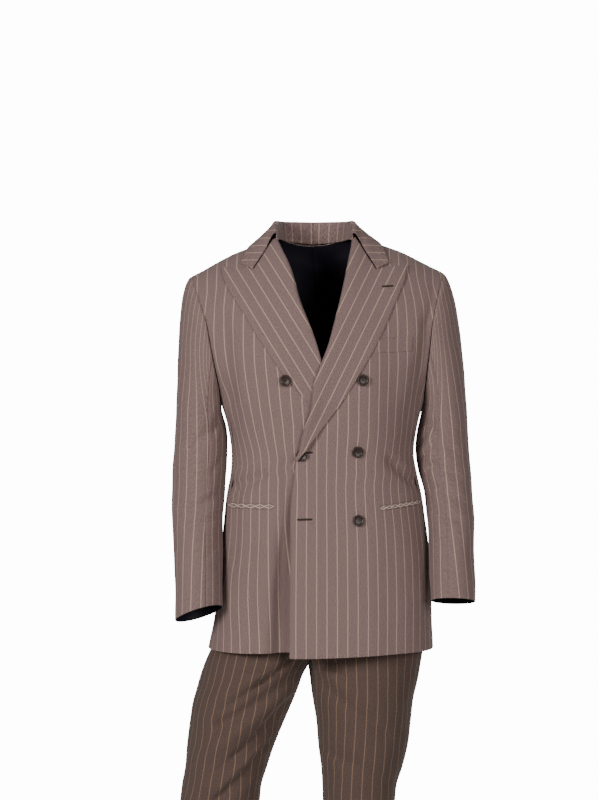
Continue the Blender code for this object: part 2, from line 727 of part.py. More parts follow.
def place_sleeve(side, start, end):
    """u round the arm from one seam to the other, v from the armhole to the cuff."""
    level, inner_rise, front_rise = LEFT_CUFF if side > 0 else RIGHT_CUFF
    creases = LEFT_SLEEVE_CREASES if side > 0 else RIGHT_SLEEVE_CREASES

    def place(u, v):
        angle = start + (end - start) * (SLEEVE_SEAM_SHARE + (1 - 2 * SLEEVE_SEAM_SHARE) * u)
        seam = armhole(angle, side)
        ring_z = np.full(np.shape(angle), SLEEVE_HEAD_END)
        ring = sleeve_ring(angle, ring_z, side)
        below = (sleeve_ring(angle, ring_z - RING_STEP, side) - ring) / RING_STEP
        outer = np.cos(angle)
        leave = stack(side * (HEAD_OUT[0] + HEAD_OUT[1] * outer), -HEAD_FORWARD * np.sin(angle),
                      HEAD_DOWN[0] + HEAD_DOWN[1] * outer)
        push = (HEAD_FULLNESS[0] + HEAD_FULLNESS[1] * outer)[..., None]
        pull = (HEAD_EASE[0] + HEAD_EASE[1] * outer)[..., None]
        seam = seam + leave * SEAM_GAP * 2
        share = np.clip(v / SLEEVE_HEAD_SHARE, 0, 1)[..., None]
        head = ((1 - share) ** 3 * seam + 3 * (1 - share) ** 2 * share * (seam + leave * push)
                + 3 * (1 - share) * share ** 2 * (ring - below * pull) + share ** 3 * ring)
        cuff = level - inner_rise * np.cos(angle) + front_rise * np.sin(angle)
        run = np.clip((v - SLEEVE_HEAD_SHARE) / (1 - SLEEVE_HEAD_SHARE), 0, 1)
        arm = sleeve_ring(angle, SLEEVE_HEAD_END + (cuff - SLEEVE_HEAD_END) * run, side)
        points = np.where((v < SLEEVE_HEAD_SHARE)[..., None], head, arm)
        facing = np.clip(np.sin(angle), 0, 1)
        points[..., 1] -= creased(points[..., 0], points[..., 2], creases) * facing
        return points
    return place


# Trousers

def place_leg(side, back):
    """u from the fly or inseam out to the side seam, v from the waistband down to the hem."""
    table = LEFT_LEG if side > 0 else RIGHT_LEG
    creases = LEFT_LEG_CREASES if side > 0 else RIGHT_LEG_CREASES

    def place(u, v):
        u = LEG_SEAM_SHARE + (1 - 2 * LEG_SEAM_SHARE) * u
        trunk = np.clip(v / TRUNK_SHARE, 0, 1)
        leg = np.clip((v - TRUNK_SHARE) / (1 - TRUNK_SHARE), 0, 1)
        z = WAIST_BOTTOM - SEAM_GAP + (CROTCH - WAIST_BOTTOM) * np.sin(trunk * math.pi / 2)
        z = np.where(v < TRUNK_SHARE, z, CROTCH + (TROUSER_HEM - CROTCH) * leg ** LEG_ROW_SPREAD)
        inner = np.where(z > CROTCH, read(CENTRE_SEAM, 1, z), read(table, 1, z))
        outer = read(table, 2, z)
        front, rear = read(table, 3, z), read(table, 4, z)
        quarter = u * math.pi / 2
        facing = rear if back else -front
        hip_x = inner + (outer - inner) * np.sin(quarter)
        hip_y = facing * np.cos(quarter) ** HIP_SQUARENESS
        turn = u * math.pi
        leg_x = (inner + outer) / 2 - (outer - inner) / 2 * np.cos(turn)
        sign = 1.0 if back else -1.0
        leg_y = (rear - front) / 2 + sign * (rear + front) / 2 * np.sin(turn)
        fall = np.clip((FORK_START - z) / (FORK_START - CROTCH), 0, 1)
        fork = 1 - np.sqrt(np.maximum(1 - fall ** 2, 0))
        thigh = ease(-z, -FORK_START, THIGH_END)
        blend = fork * (1 - u) + thigh * u
        x = hip_x + (leg_x - hip_x) * blend
        y = hip_y + (leg_y - hip_y) * blend
        if not back:
            y = y - creased(x, z, creases) * np.sin(turn)
        return stack(x, y, z)
    return place


def place_waistband(u, v):
    """u once round the waist from the centre front, v from the bottom up."""
    angle = WAIST_END_ANGLE + u * 2 * (math.pi - WAIST_END_ANGLE)
    z = WAIST_BOTTOM + (WAIST_TOP - WAIST_BOTTOM) * v
    middle = read(LEFT_LEG, 1, z)
    half = np.where(np.sin(angle) > 0, read(LEFT_LEG, 2, z) - middle, middle - read(RIGHT_LEG, 2, z))
    quarter_y = np.abs(np.cos(angle)) ** HIP_SQUARENESS
    y = np.where(np.cos(angle) > 0, -read(LEFT_LEG, 3, z), read(LEFT_LEG, 4, z)) * quarter_y
    return stack(middle + half * np.sin(angle), y, z)


def place_fly(u, v):
    """Placket over the left trouser front, beside the centre front seam."""
    z = FLY_BOTTOM + (WAIST_BOTTOM - FLY_TOP_GAP - FLY_BOTTOM) * v
    middle, outer = read(LEFT_LEG, 1, z), read(LEFT_LEG, 2, z)
    width = FLY_WIDTH * np.sqrt(np.clip(v * FLY_POINT[0], FLY_POINT[1], 1))
    share = LEG_SEAM_SHARE + width * u / (outer - middle)
    quarter = np.arcsin(share)
    y = -read(LEFT_LEG, 3, z) * np.cos(quarter) ** HIP_SQUARENESS - SEAM_GAP - JET_CLOTH
    return stack(middle + (outer - middle) * share, y, z)


# Applied pieces

def place_strip(corners, cloth, side):
    """A strip laid flat on a front: u from its inner end out, v from its lower edge up."""
    (x0, z0), (x1, z1), (x2, z2), (x3, z3) = corners

    def place(u, v):
        x = (x0 * (1 - u) + x1 * u) * (1 - v) + (x3 * (1 - u) + x2 * u) * v
        z = (z0 * (1 - u) + z1 * u) * (1 - v) + (z3 * (1 - u) + z2 * u) * v
        base = lap_lift(x, z) if side > 0 else 0.0
        return on_front(x, z, base + STRIP_REST + cloth)
    return place


def cloth_material(name, red, green, blue, roughness):
    material = bpy.data.materials.new(name)
    material.use_nodes = True
    shader = material.node_tree.nodes["Principled BSDF"]
    shader.inputs["Base Color"].default_value = (red, green, blue, 1.0)
    shader.inputs["Roughness"].default_value = roughness
    shader.inputs["Metallic"].default_value = 0.0
    return material


def add_object(name, shape, material):
    mesh = bpy.data.meshes.new(name)
    shape.to_mesh(mesh)
    shape.free()
    mesh.materials.append(material)
    piece = bpy.data.objects.new(name, mesh)
    bpy.context.scene.collection.objects.link(piece)
    return piece


def add_wall(name, columns, rows, place, outward, cloth, material):
    """A closed wall: a flat slab is divided, then each corner is carried to the surface."""
    shape = bmesh.new()
    bmesh.ops.create_grid(shape, x_segments=columns, y_segments=rows, size=0.5)
    raised = bmesh.ops.extrude_face_region(shape, geom=shape.faces[:])
    top = [item for item in raised["geom"] if isinstance(item, bmesh.types.BMVert)]
    bmesh.ops.translate(shape, vec=(0, 0, 1), verts=top)
    bmesh.ops.recalc_face_normals(shape, faces=shape.faces[:])
    flat = np.array([vertex.co[:] for vertex in shape.verts])
    u, v, depth = flat[:, 0] + 0.5, flat[:, 1] + 0.5, flat[:, 2]
    step = SLOPE_STEP
    right = place(np.clip(u + step, 0, 1), v) - place(np.clip(u - step, 0, 1), v)
    up = place(u, np.clip(v + step, 0, 1)) - place(u, np.clip(v - step, 0, 1))
    normal = np.cross(right, up) * outward
    normal = normal / np.maximum(np.linalg.norm(normal, axis=1, keepdims=True), 1e-12)
    points = place(u, v) - normal * (depth * cloth)[:, None]
    for vertex, point in zip(shape.verts, points):
        vertex.co = point
    if shape.calc_volume(signed=True) < 0:
        bmesh.ops.reverse_faces(shape, faces=shape.faces[:])
    piece = add_object(name, shape, material)
    piece.data.shade_smooth()
    piece.data.set_sharp_from_angle(angle=math.radians(50))
    return piece


def add_button(name, x, z, stand_off, front, material):
    """A dished disc with a thick rim on a thread shank, turned round its own axis."""
    base = LAP_LIFT if front == "left" else 0.0
    seat = on_front(np.array(x), np.array(z), np.array(base))
    out = body_normal(seat)
    radius, thick = BUTTON_RADIUS, BUTTON_THICKNESS
    under, foot = stand_off, SHANK_FOOT
    profile = (
        (0.0, foot),
        (SHANK_RADIUS, foot),
        (SHANK_RADIUS, under),
        (radius * 0.80, under),
        (radius, under + thick * 0.40),
        (radius, under + thick * 0.70),
        (radius * 0.90, under + thick),
        (radius * 0.74, under + thick * 0.95),
        (radius * 0.60, under + thick * 0.62),
        (0.0, under + thick * 0.58),
    )
    shape = bmesh.new()
    corners = [shape.verts.new((reach, 0, height)) for reach, height in profile]
    edges = [shape.edges.new(pair) for pair in zip(corners, corners[1:])]
    bmesh.ops.spin(shape, geom=corners + edges, axis=(0, 0, 1), cent=(0, 0, 0),
                   angle=2 * math.pi, steps=BUTTON_SIDES, use_merge=True)
    bmesh.ops.remove_doubles(shape, verts=shape.verts[:], dist=0.00002)
    bmesh.ops.recalc_face_normals(shape, faces=shape.faces[:])
    turn = Vector((0, 0, 1)).rotation_difference(Vector(out))
    for vertex in shape.verts:
        vertex.co = turn @ vertex.co + Vector(seat)
    piece = add_object(name, shape, material)
    piece.data.shade_smooth()
    piece.data.set_sharp_from_angle(angle=math.radians(40))
    return piece


def build():
    for item in list(bpy.data.objects):
        bpy.data.objects.remove(item, do_unlink=True)
    jacket = cloth_material("brown worsted, jacket", 0.195, 0.135, 0.105, 0.85)
    trousers = cloth_material("brown worsted, trousers", 0.170, 0.115, 0.088, 0.85)
    horn = cloth_material("dark horn", 0.030, 0.016, 0.010, 0.35)
    for side, word in ((-1, "right"), (1, "left")):
        add_wall(f"front_{word}", 9, 21, place_front(side), side, CLOTH, jacket)
        add_wall(f"side_{word}", 4, 10, place_side(side), side, CLOTH, jacket)
        add_wall(f"back_{word}", 6, 17, place_back(side), -side, CLOTH, jacket)
        add_wall(f"lapel_{word}", 8, 15, place_lapel(side), side, CLOTH, jacket)
        top_start = ELBOW_SEAM - 2 * math.pi
        add_wall(f"sleeve_top_{word}", 9, 16, place_sleeve(side, top_start, FOREARM_SEAM),
                 side, CLOTH, jacket)
        add_wall(f"sleeve_under_{word}", 6, 16, place_sleeve(side, FOREARM_SEAM, ELBOW_SEAM),
                 side, CLOTH, jacket)
        add_wall(f"trouser_front_{word}", 8, 26, place_leg(side, False), -side, CLOTH, trousers)
        add_wall(f"trouser_back_{word}", 7, 20, place_leg(side, True), side, CLOTH, trousers)
    add_wall("collar", 12, 24, place_collar, 1, CLOTH, jacket)
    add_wall("breast_welt", 6, 2, place_strip(WELT, WELT_CLOTH, 1), 1, WELT_CLOTH, jacket)
    add_wall("hip_pocket_right", 6, 1, place_strip(RIGHT_POCKET, JET_CLOTH, -1), -1, JET_CLOTH, jacket)
    add_wall("hip_pocket_left", 6, 1, place_strip(LEFT_POCKET, JET_CLOTH, 1), 1, JET_CLOTH, jacket)
    add_wall("waistband", 32, 1, place_waistband, 1, CLOTH, trousers)
    add_wall("fly", 3, 8, place_fly, 1, JET_CLOTH, trousers)
    for name, x, z, stand_off, front in BUTTONS:
        add_button(name, x, z, stand_off, front, horn)


build()
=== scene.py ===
"""The looks of the striped double-breasted suit: striped worsted with its folds, rolled
lapels, sewn edges, basted pockets, buttonholes and horn buttons, on the part's own frame.

Metres, +Z up. +X is the wearer's left, the front faces -Y.
"""
import math

import bmesh
import bpy
import numpy as np
from mathutils import Matrix, Vector


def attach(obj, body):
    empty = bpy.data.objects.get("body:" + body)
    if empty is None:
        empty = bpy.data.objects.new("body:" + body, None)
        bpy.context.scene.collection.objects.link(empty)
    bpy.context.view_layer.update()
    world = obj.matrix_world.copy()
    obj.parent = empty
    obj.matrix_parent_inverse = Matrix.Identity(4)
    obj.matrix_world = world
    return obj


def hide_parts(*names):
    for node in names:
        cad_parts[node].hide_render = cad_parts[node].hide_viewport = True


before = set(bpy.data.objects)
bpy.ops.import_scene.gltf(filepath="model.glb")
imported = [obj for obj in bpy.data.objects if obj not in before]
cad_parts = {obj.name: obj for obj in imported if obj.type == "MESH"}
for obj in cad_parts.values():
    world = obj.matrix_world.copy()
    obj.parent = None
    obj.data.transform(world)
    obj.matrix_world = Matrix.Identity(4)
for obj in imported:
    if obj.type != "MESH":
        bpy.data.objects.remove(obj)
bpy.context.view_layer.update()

# The photo's view: level, from the front
VIEW_X = -0.026
VIEW_Z = -0.281
VIEW_DISTANCE = 3.6
VIEW_HEIGHT = 1.432
PHOTO_MIDDLE = (299.5, 400)
PIXEL = 0.00179

# The part's own sizes
CLOTH = 0.0018
SLOPE_STEP = 0.002
SEAM_GAP = 0.0003
HALF_GAP = SEAM_GAP / 2

# The jacket's body
BODY_ROUND = 2.4
FRONT_CROWN = 1.9
BACK_CROWN = 2.3
ARM_BOTTOM = -0.288
SHOULDER_MIDDLE = 0.0035
SHOULDER_TILT = 0.020
HEM = -0.7215
FRONT_SIDE_SEAM = math.radians(147)
BACK_SIDE_SEAM = math.radians(218)
NECK_HALF = 0.070
NECK_DROP = 0.10

# Height, middle, half width, front depth, back depth
BODY = (
    (-0.74, 0.01, 0.2035, 0.1385, 0.141),
    (-0.693, 0.0143, 0.1975, 0.137, 0.138),
    (-0.66, 0.0166, 0.194, 0.135, 0.134),
    (-0.576, 0.021, 0.1875, 0.131, 0.124),
    (-0.494, 0.0188, 0.18, 0.126, 0.111),
    (-0.45, 0.018, 0.174, 0.123, 0.104),
    (-0.415, 0.0175, 0.167, 0.121, 0.1),
    (-0.38, 0.0155, 0.1625, 0.121, 0.099),
    (-0.335, 0.015, 0.1674, 0.125, 0.103),
    (-0.29, 0.0145, 0.1795, 0.13, 0.11),
    (-0.26, 0.014, 0.189, 0.132, 0.114),
    (-0.22, 0.012, 0.2075, 0.135, 0.119),
    (-0.17, 0.01, 0.2275, 0.136, 0.124),
    (-0.145, 0.009, 0.24, 0.136, 0.126),
    (-0.1, 0.0065, 0.262, 0.136, 0.126),
    (-0.05, 0.004, 0.285, 0.134, 0.124),
    (0.0, -0.001, 0.295, 0.13, 0.122),
    (0.04, -0.002, 0.3, 0.13, 0.12),
)
# Distance from the shoulders' middle, height of the shoulder seam
SHOULDER = (
    (0.0, 0.033), (0.05, 0.024), (0.07, 0.0155), (0.1, 0.0005), (0.12, -0.007), (0.147, -0.017),
    (0.17, -0.028), (0.2, -0.044), (0.225, -0.0565), (0.26, -0.074),
)
# Height, distance of the armhole seam from the body's middle
ARMHOLE = (
    (-0.288, 0.18), (-0.26, 0.182), (-0.22, 0.1875), (-0.184, 0.1929), (-0.145, 0.1987), (-0.1, 0.211),
    (-0.0565, 0.224),
)
# Height, x of the right front's inner edge: its hidden edge, then its roll line up to the neck
RIGHT_EDGE = (
    (-0.74, 0.088), (-0.45, 0.085), (-0.4, 0.078), (-0.376, 0.065), (-0.324, 0.049), (-0.264, 0.032),
    (-0.2137, 0.0128), (-0.1842, 0.0043), (-0.1458, -0.0095), (-0.1107, -0.0234), (-0.0716, -0.0339),
    (-0.0392, -0.0444), (-0.017, -0.055), (0.0092, -0.0658), (0.03, -0.0715),
)
# Height, x of the left front's inner edge: its lapped edge, then its roll line up to the neck
LEFT_EDGE = (
    (-0.74, -0.044), (-0.6256, -0.044), (-0.55, -0.0428), (-0.4878, -0.0423), (-0.4533, -0.0406),
    (-0.4189, -0.0354), (-0.3844, -0.0315), (-0.3725, -0.026), (-0.3501, -0.0217), (-0.3276, -0.0165),
    (-0.3017, -0.0079), (-0.2568, -0.0027), (-0.2137, 0.0128), (-0.1911, 0.0215), (-0.1528, 0.032),
    (-0.1107, 0.0427), (-0.0716, 0.0516), (-0.0354, 0.0591), (-0.006, 0.065), (0.03, 0.0685),
)
# Share of a panel's height below the armhole, how it wraps, what its edges give to the seams
PANEL_SPLIT = 0.66
PANEL_TURN = math.radians(78)
PANEL_SIDE_INSET = 0.0009
PANEL_TOP_INSET = 0.0006
SIDE_PANEL_INSET = 0.0030
LAP_LIFT = 0.0052
LAP_FULL = 0.095
LAP_END = 0.145
LAP_TOP_FULL = -0.195
LAP_TOP_END = -0.110

# How far the lapped edge lies down on the front below it, how wide that is, and where it ends
EDGE_FALL = 0.0010
EDGE_FALL_WIDTH = 0.020
EDGE_FALL_TOP = (-0.420, -0.385)
# Depth below the neck: where the right front starts to sink in under the left one, and how far
TUCK = (
    (0.4, -0.049, 0.0), (0.44, -0.0515, 0.006), (0.523, -0.0595, 0.015), (0.592, -0.075, 0.018),
    (0.72, -0.088, 0.0185),
)
TUCK_END = -0.0405
# Hems near the lap: how far up or down, where that fades out across, and how far up it reaches
LEFT_HEM_STEP = -0.0055
LEFT_HEM_RUN = (-0.040, 0.170)
RIGHT_HEM_STEP = 0.0035
RIGHT_HEM_RUN = (-0.140, -0.050)
HEM_SHARE = 0.30

# Lapels: x and height of each point of the outline, bottom to top
RIGHT_LAPEL_BOTTOM = -0.374
LEFT_LAPEL_BOTTOM = -0.3870
LAPEL_GORGE = 0.0040
ROLL_RADIUS = 0.0034
ROLL_CLEAR = 0.0042
ROLL_START = math.radians(80)
ROLL_SHARE = 0.14
ROLL_PUFF = 0.0045
ROLL_FADE = 0.020
PEAK_LIFT = 0.0012
ROLL_DROP = 0.30
ROLL_REACH = 0.93
# The roll's lower end: how much fuller, where along the lapel, and how the roll is puffed out
ROLL_LOFT = 0.0050
LOFT_START = (-0.012, 0.014)
LOFT_END = (0.05, 0.20)
LOFT_ASIDE = 0.4
LEFT_PUFF = (0.02, 0.25)
RIGHT_PUFF = (0.48, 0.65)
PUFF_WIDTH = 0.35
LAPEL_RELIEF = 0.6
RIGHT_LAPEL_EDGE = (
    (-0.374, 0.0625), (-0.3329, 0.0268), (-0.2914, -0.0061), (-0.262, -0.032), (-0.243, -0.0493),
    (-0.2222, -0.0649), (-0.1928, -0.0839), (-0.1641, -0.1036), (-0.1362, -0.1193), (-0.1117, -0.135),
    (-0.0869, -0.15), (-0.0657, -0.1592), (-0.0487, -0.1633),
)
LEFT_LAPEL_EDGE = (
    (-0.387, -0.0284), (-0.38, -0.0236), (-0.3657, -0.0133), (-0.3451, 0.0009), (-0.3226, 0.0182),
    (-0.3001, 0.0355), (-0.2758, 0.0528), (-0.2482, 0.0701), (-0.2222, 0.0857), (-0.198, 0.0995),
    (-0.172, 0.1133), (-0.1513, 0.1237), (-0.124, 0.1355), (-0.096, 0.1477), (-0.0657, 0.1594),
    (-0.043, 0.1638),
)
# Distance from the collar's middle, height: where the gorge seam ends and the step begins
GORGE_END = (0.1070, -0.0518)
PEAK_STEP = (0.1300, -0.0468)
COLLAR_CORNER = (0.1300, -0.0412)
GORGE_SHARE = 0.55
STEP_SHARE = 0.78
GORGE_GAP = 0.0009

# Collar: share of its length, distance from the middle, y, height, all on the fold line
COLLAR_MIDDLE = 0.0005
COLLAR_FOLD = (
    (0.0, 0.0675, -0.047, 0.0125),
    (0.12, 0.068, -0.021, 0.03),
    (0.24, 0.067, 0.008, 0.0385),
    (0.37, 0.052, 0.05, 0.041),
    (0.5, 0.0, 0.072, 0.042),
)
# Share of the length, distance from the middle, root of how far below the ridge (front < 0)
COLLAR_EDGE = (
    (0.0, 0.13, -0.318), (0.07, 0.1235, -0.23), (0.15, 0.112, 0.0), (0.27, 0.085, 0.238),
    (0.38, 0.045, 0.33), (0.5, 0.0, 0.355),
)
# Share of the length, height of the stand, how far it leans in, how full the leaf is
COLLAR_STAND = (
    (0.0, 0.008, 0.001, 0.0),
    (0.12, 0.022, 0.003, -0.0005),
    (0.24, 0.028, 0.0035, -0.002),
    (0.37, 0.032, 0.0035, 0.001),
    (0.5, 0.037, 0.0035, 0.003),
)
COLLAR_REST = 0.0021
COLLAR_FOLD_RADIUS = 0.0030
COLLAR_STAND_SHARE = 0.28
COLLAR_FOLD_SHARE = 0.40
COLLAR_END_SHARE = 0.13
COLLAR_BEND_SHARE = 0.68
COLLAR_LAPEL_GAP = (0.0005, 0.0003)
NECK_AXIS = (COLLAR_MIDDLE, 0.005, 0.0)
NECK_BELOW = (COLLAR_MIDDLE, 0.0, -0.05)

# Sleeves: height, outer x, inner x, middle y, half depth
RIGHT_SLEEVE = (
    (-0.7, -0.2425, -0.1615, -0.093, 0.046),
    (-0.66, -0.2431, -0.1617, -0.08, 0.048),
    (-0.594, -0.2453, -0.1618, -0.058, 0.052),
    (-0.551, -0.2479, -0.1618, -0.044, 0.056),
    (-0.487, -0.2527, -0.1618, -0.024, 0.06),
    (-0.444, -0.2535, -0.159, -0.012, 0.062),
    (-0.4, -0.2531, -0.1557, -0.004, 0.064),
    (-0.365, -0.2506, -0.1545, 0.001, 0.066),
    (-0.33, -0.249, -0.1565, 0.004, 0.068),
    (-0.3, -0.2471, -0.164, 0.004, 0.069),
)
LEFT_SLEEVE = (
    (-0.68, 0.2812, 0.203, -0.105, 0.046),
    (-0.631, 0.2815, 0.203, -0.09, 0.048),
    (-0.594, 0.2822, 0.202, -0.076, 0.052),
    (-0.551, 0.2818, 0.201, -0.061, 0.056),
    (-0.487, 0.284, 0.1995, -0.035, 0.06),
    (-0.444, 0.2825, 0.195, -0.017, 0.062),
    (-0.4, 0.2801, 0.1846, -0.004, 0.064),
    (-0.365, 0.2775, 0.1815, 0.001, 0.066),
    (-0.33, 0.2757, 0.1855, 0.004, 0.068),
    (-0.3, 0.2735, 0.194, 0.004, 0.069),
)
SLEEVE_HEAD_END = -0.330
SLEEVE_HEAD_SHARE = 0.42
SLEEVE_SEAM_SHARE = 0.0018
# Where the sleeve head leads at the armhole: its mean, and its change from inner to outer side
HEAD_OUT = (0.50, 0.40)
HEAD_FORWARD = 0.25
HEAD_DOWN = (-0.72, 0.29)
HEAD_FULLNESS = (0.021, 0.009)
HEAD_EASE = (0.066, 0.054)
RING_STEP = 0.01
# Middle height of the cuff, how much its inner side and its front are higher
RIGHT_CUFF = (-0.655, 0.012, 0.013)
LEFT_CUFF = (-0.632, 0.001, 0.010)
RIGHT_FOREARM_SEAM = math.radians(112)
LEFT_FOREARM_SEAM = math.radians(106)
ELBOW_SEAM = math.radians(254)

# Trousers: height, inner x, outer x, front depth, back depth
WAIST_TOP = -0.460
WAIST_BOTTOM = -0.496
LEG_SEAM_SHARE = 0.0008
LEG_ROW_SPREAD = 1.35
HIP_SQUARENESS = 0.9
THIGH_END = 0.86
WAIST_END_ANGLE = 0.002
FLY_TOP_GAP = 0.001
FLY_POINT = (3.0, 0.02)
CROTCH = -0.755
FORK_START = -0.600
TROUSER_HEM = -1.555
RIGHT_LEG = (
    (-1.56, -0.158, -0.282, 0.045, 0.083),
    (-1.35, -0.14, -0.268, 0.052, 0.082),
    (-1.2, -0.122, -0.258, 0.062, 0.078),
    (-1.08, -0.108, -0.25, 0.072, 0.072),
    (-0.997, -0.0967, -0.2399, 0.077, 0.078),
    (-0.966, -0.0931, -0.2363, 0.081, 0.081),
    (-0.938, -0.0842, -0.231, 0.085, 0.084),
    (-0.895, -0.0699, -0.2274, 0.09, 0.089),
    (-0.852, -0.052, -0.222, 0.096, 0.096),
    (-0.8182, -0.0376, -0.2166, 0.1, 0.101),
    (-0.8, -0.03, -0.2113, 0.102, 0.104),
    (-0.766, -0.017, -0.2014, 0.105, 0.11),
    (-0.755, -0.0108, -0.1975, 0.106, 0.112),
    (-0.72, -0.002, -0.183, 0.108, 0.114),
    (-0.68, 0.006, -0.173, 0.109, 0.114),
    (-0.62, 0.015, -0.158, 0.107, 0.112),
    (-0.56, 0.018, -0.148, 0.104, 0.104),
    (-0.5, 0.018, -0.138, 0.101, 0.094),
    (-0.45, 0.018, -0.131, 0.098, 0.088),
)
LEFT_LEG = (
    (-1.56, 0.022, 0.14, 0.045, 0.083),
    (-1.35, 0.022, 0.139, 0.052, 0.082),
    (-1.2, 0.02, 0.141, 0.062, 0.078),
    (-1.08, 0.018, 0.143, 0.072, 0.072),
    (-0.997, 0.0152, 0.1449, 0.077, 0.078),
    (-0.966, 0.0143, 0.1485, 0.081, 0.081),
    (-0.938, 0.0125, 0.1575, 0.085, 0.084),
    (-0.895, 0.0071, 0.1682, 0.09, 0.089),
    (-0.852, 0.0035, 0.1736, 0.096, 0.096),
    (-0.809, -0.0036, 0.179, 0.101, 0.103),
    (-0.791, -0.006, 0.1834, 0.103, 0.106),
    (-0.766, -0.009, 0.1888, 0.105, 0.11),
    (-0.755, -0.0108, 0.1905, 0.106, 0.112),
    (-0.72, -0.002, 0.1955, 0.108, 0.114),
    (-0.68, 0.006, 0.194, 0.109, 0.114),
    (-0.62, 0.015, 0.19, 0.107, 0.112),
    (-0.56, 0.018, 0.184, 0.104, 0.104),
    (-0.5, 0.018, 0.174, 0.101, 0.094),
    (-0.45, 0.018, 0.167, 0.098, 0.088),
)
TRUNK_SHARE = 0.36
# Height, x of the centre seam above the crotch
CENTRE_SEAM = (
    (-0.755, -0.0108), (-0.72, -0.002), (-0.68, 0.006), (-0.62, 0.015), (-0.56, 0.018), (-0.45, 0.018),
)

# Creases seen from the front: x and height of both ends, half width, how far it stands out
JACKET_CREASES = (
    (-0.15, -0.43, -0.095, -0.408, 0.01, -0.0035),
    (-0.145, -0.408, -0.1, -0.392, 0.009, 0.0025),
    (-0.058, -0.53, -0.062, -0.72, 0.013, -0.004),
    (-0.085, -0.53, -0.09, -0.72, 0.013, 0.003),
    (0.145, -0.4, 0.19, -0.432, 0.01, -0.0035),
    (-0.15, -0.15, -0.14, -0.33, 0.014, -0.003),
    (0.175, -0.235, 0.165, -0.34, 0.014, -0.003),
)
RIGHT_LEG_CREASES = (
    (-0.03, -0.765, -0.165, -0.85, 0.011, -0.008),
    (-0.055, -0.74, -0.18, -0.8, 0.015, 0.006),
    (-0.045, -0.84, -0.165, -0.94, 0.011, -0.008),
    (-0.04, -0.8, -0.175, -0.89, 0.014, 0.006),
    (-0.08, -0.915, -0.19, -1.0, 0.011, -0.006),
    (-0.07, -0.88, -0.19, -0.955, 0.013, 0.0045),
)
LEFT_LEG_CREASES = (
    (0.020, -0.780, 0.120, -0.860, 0.0130, -0.0050),
    (0.015, -0.760, 0.140, -0.815, 0.0140, 0.0040),
    (0.035, -0.900, 0.140, -0.955, 0.0120, -0.0050),
)
RIGHT_SLEEVE_CREASES = (
    (-0.180, -0.330, -0.215, -0.365, 0.0100, -0.0045),
    (-0.170, -0.455, -0.235, -0.480, 0.0090, -0.0040),
    (-0.172, -0.490, -0.225, -0.505, 0.0080, -0.0035),
)
LEFT_SLEEVE_CREASES = (
    (0.200, -0.330, 0.240, -0.365, 0.0100, -0.0045),
    (0.200, -0.395, 0.245, -0.410, 0.0090, -0.0045),
    (0.205, -0.435, 0.255, -0.455, 0.0090, -0.0040),
    (0.210, -0.480, 0.250, -0.490, 0.0080, -0.0035),
)

# Buttons: name, x, height, how far the underside stands off its front, turn in degrees
BUTTON_RADIUS = 0.0100
BUTTON_THICKNESS = 0.0035
UNLAPPED_BUTTON = "button_top_right"
HOLE_OFF = 0.0019
HOLE_RADIUS = 0.00085
STITCH_ASIDE = 0.00135
# Share of the radius, share of the thickness: from the underside's middle round to the dish
BUTTON_PROFILE = (
    (0.0, 0.0), (0.8, 0.0), (0.93, 0.16), (0.985, 0.36), (1.0, 0.56), (0.985, 0.78), (0.93, 0.94),
    (0.86, 1.0), (0.79, 0.97), (0.7, 0.8), (0.6, 0.66), (0.3, 0.58), (0.0, 0.56),
)
SHANK_COIL = 0.0011
BUTTON_THREAD = 0.00028
# Sewing: radius of each thread, how far it stands off the cloth or beside its slit
BASTING_THREAD = 0.00038
BASTING_LIFT = 0.0013
BASTING_CROSS = 0.0003
PURL_THREAD = 0.00095
PURL_ASIDE = 0.00100
PURL_LIFT = 0.0003
LAPEL_HOLE_LIFT = 0.0003
SLIT_THREAD = 0.0007
SLIT_LIFT = 0.00005
BUTTONS = (
    ("button_top_left", 0.0819, -0.2465, 0.003, 10),
    ("button_middle_left", 0.0733, -0.3707, 0.0016, 55),
    ("button_bottom_left", 0.075, -0.4898, 0.0016, 30),
    ("button_top_right", -0.05, -0.2472, 0.0046, 80),
    ("button_middle_right", -0.0216, -0.3765, 0.0018, 20),
)
# Applied strips: x and height of the four corners, lower inner first and then round
RIGHT_POCKET = ((-0.0740, -0.4710), (-0.1480, -0.4710), (-0.1480, -0.4615), (-0.0740, -0.4615))
LEFT_POCKET = ((0.1150, -0.4730), (0.1825, -0.4660), (0.1825, -0.4565), (0.1150, -0.4635))
JET_CLOTH = 0.0010
WELT_LIFT = 0.0008
JET_LIFT = 0.0005
SHOWN_JET = 0.0006
STRIP_GAP = 0.0002
STRIP_STEP = 0.003
FLY_WIDTH = 0.040
FLY_BOTTOM = -0.640


def read(table, column, at):
    """Smooth value of one column of a table at the given first-column values."""
    rows = np.array(table, dtype=float)
    rows = rows[np.argsort(rows[:, 0])]
    stations, values = rows[:, 0], rows[:, column]
    slopes = np.gradient(values, stations)
    at = np.clip(at, stations[0], stations[-1])
    place = np.clip(np.searchsorted(stations, at) - 1, 0, len(stations) - 2)
    span = stations[place + 1] - stations[place]
    share = (at - stations[place]) / span
    start, end = values[place], values[place + 1]
    rise = (1 - share) ** 2 * (1 + 2 * share) * start + share ** 2 * (3 - 2 * share) * end
    lean = share * (1 - share) ** 2 * slopes[place] - share ** 2 * (1 - share) * slopes[place + 1]
    return rise + lean * span


def ease(value, low, high):
    """0 below low, 1 above high and a soft step between them."""
    share = np.clip((value - low) / (high - low), 0, 1)
    return share * share * (3 - 2 * share)


def stack(x, y, z):
    return np.stack(np.broadcast_arrays(x, y, z), axis=-1)


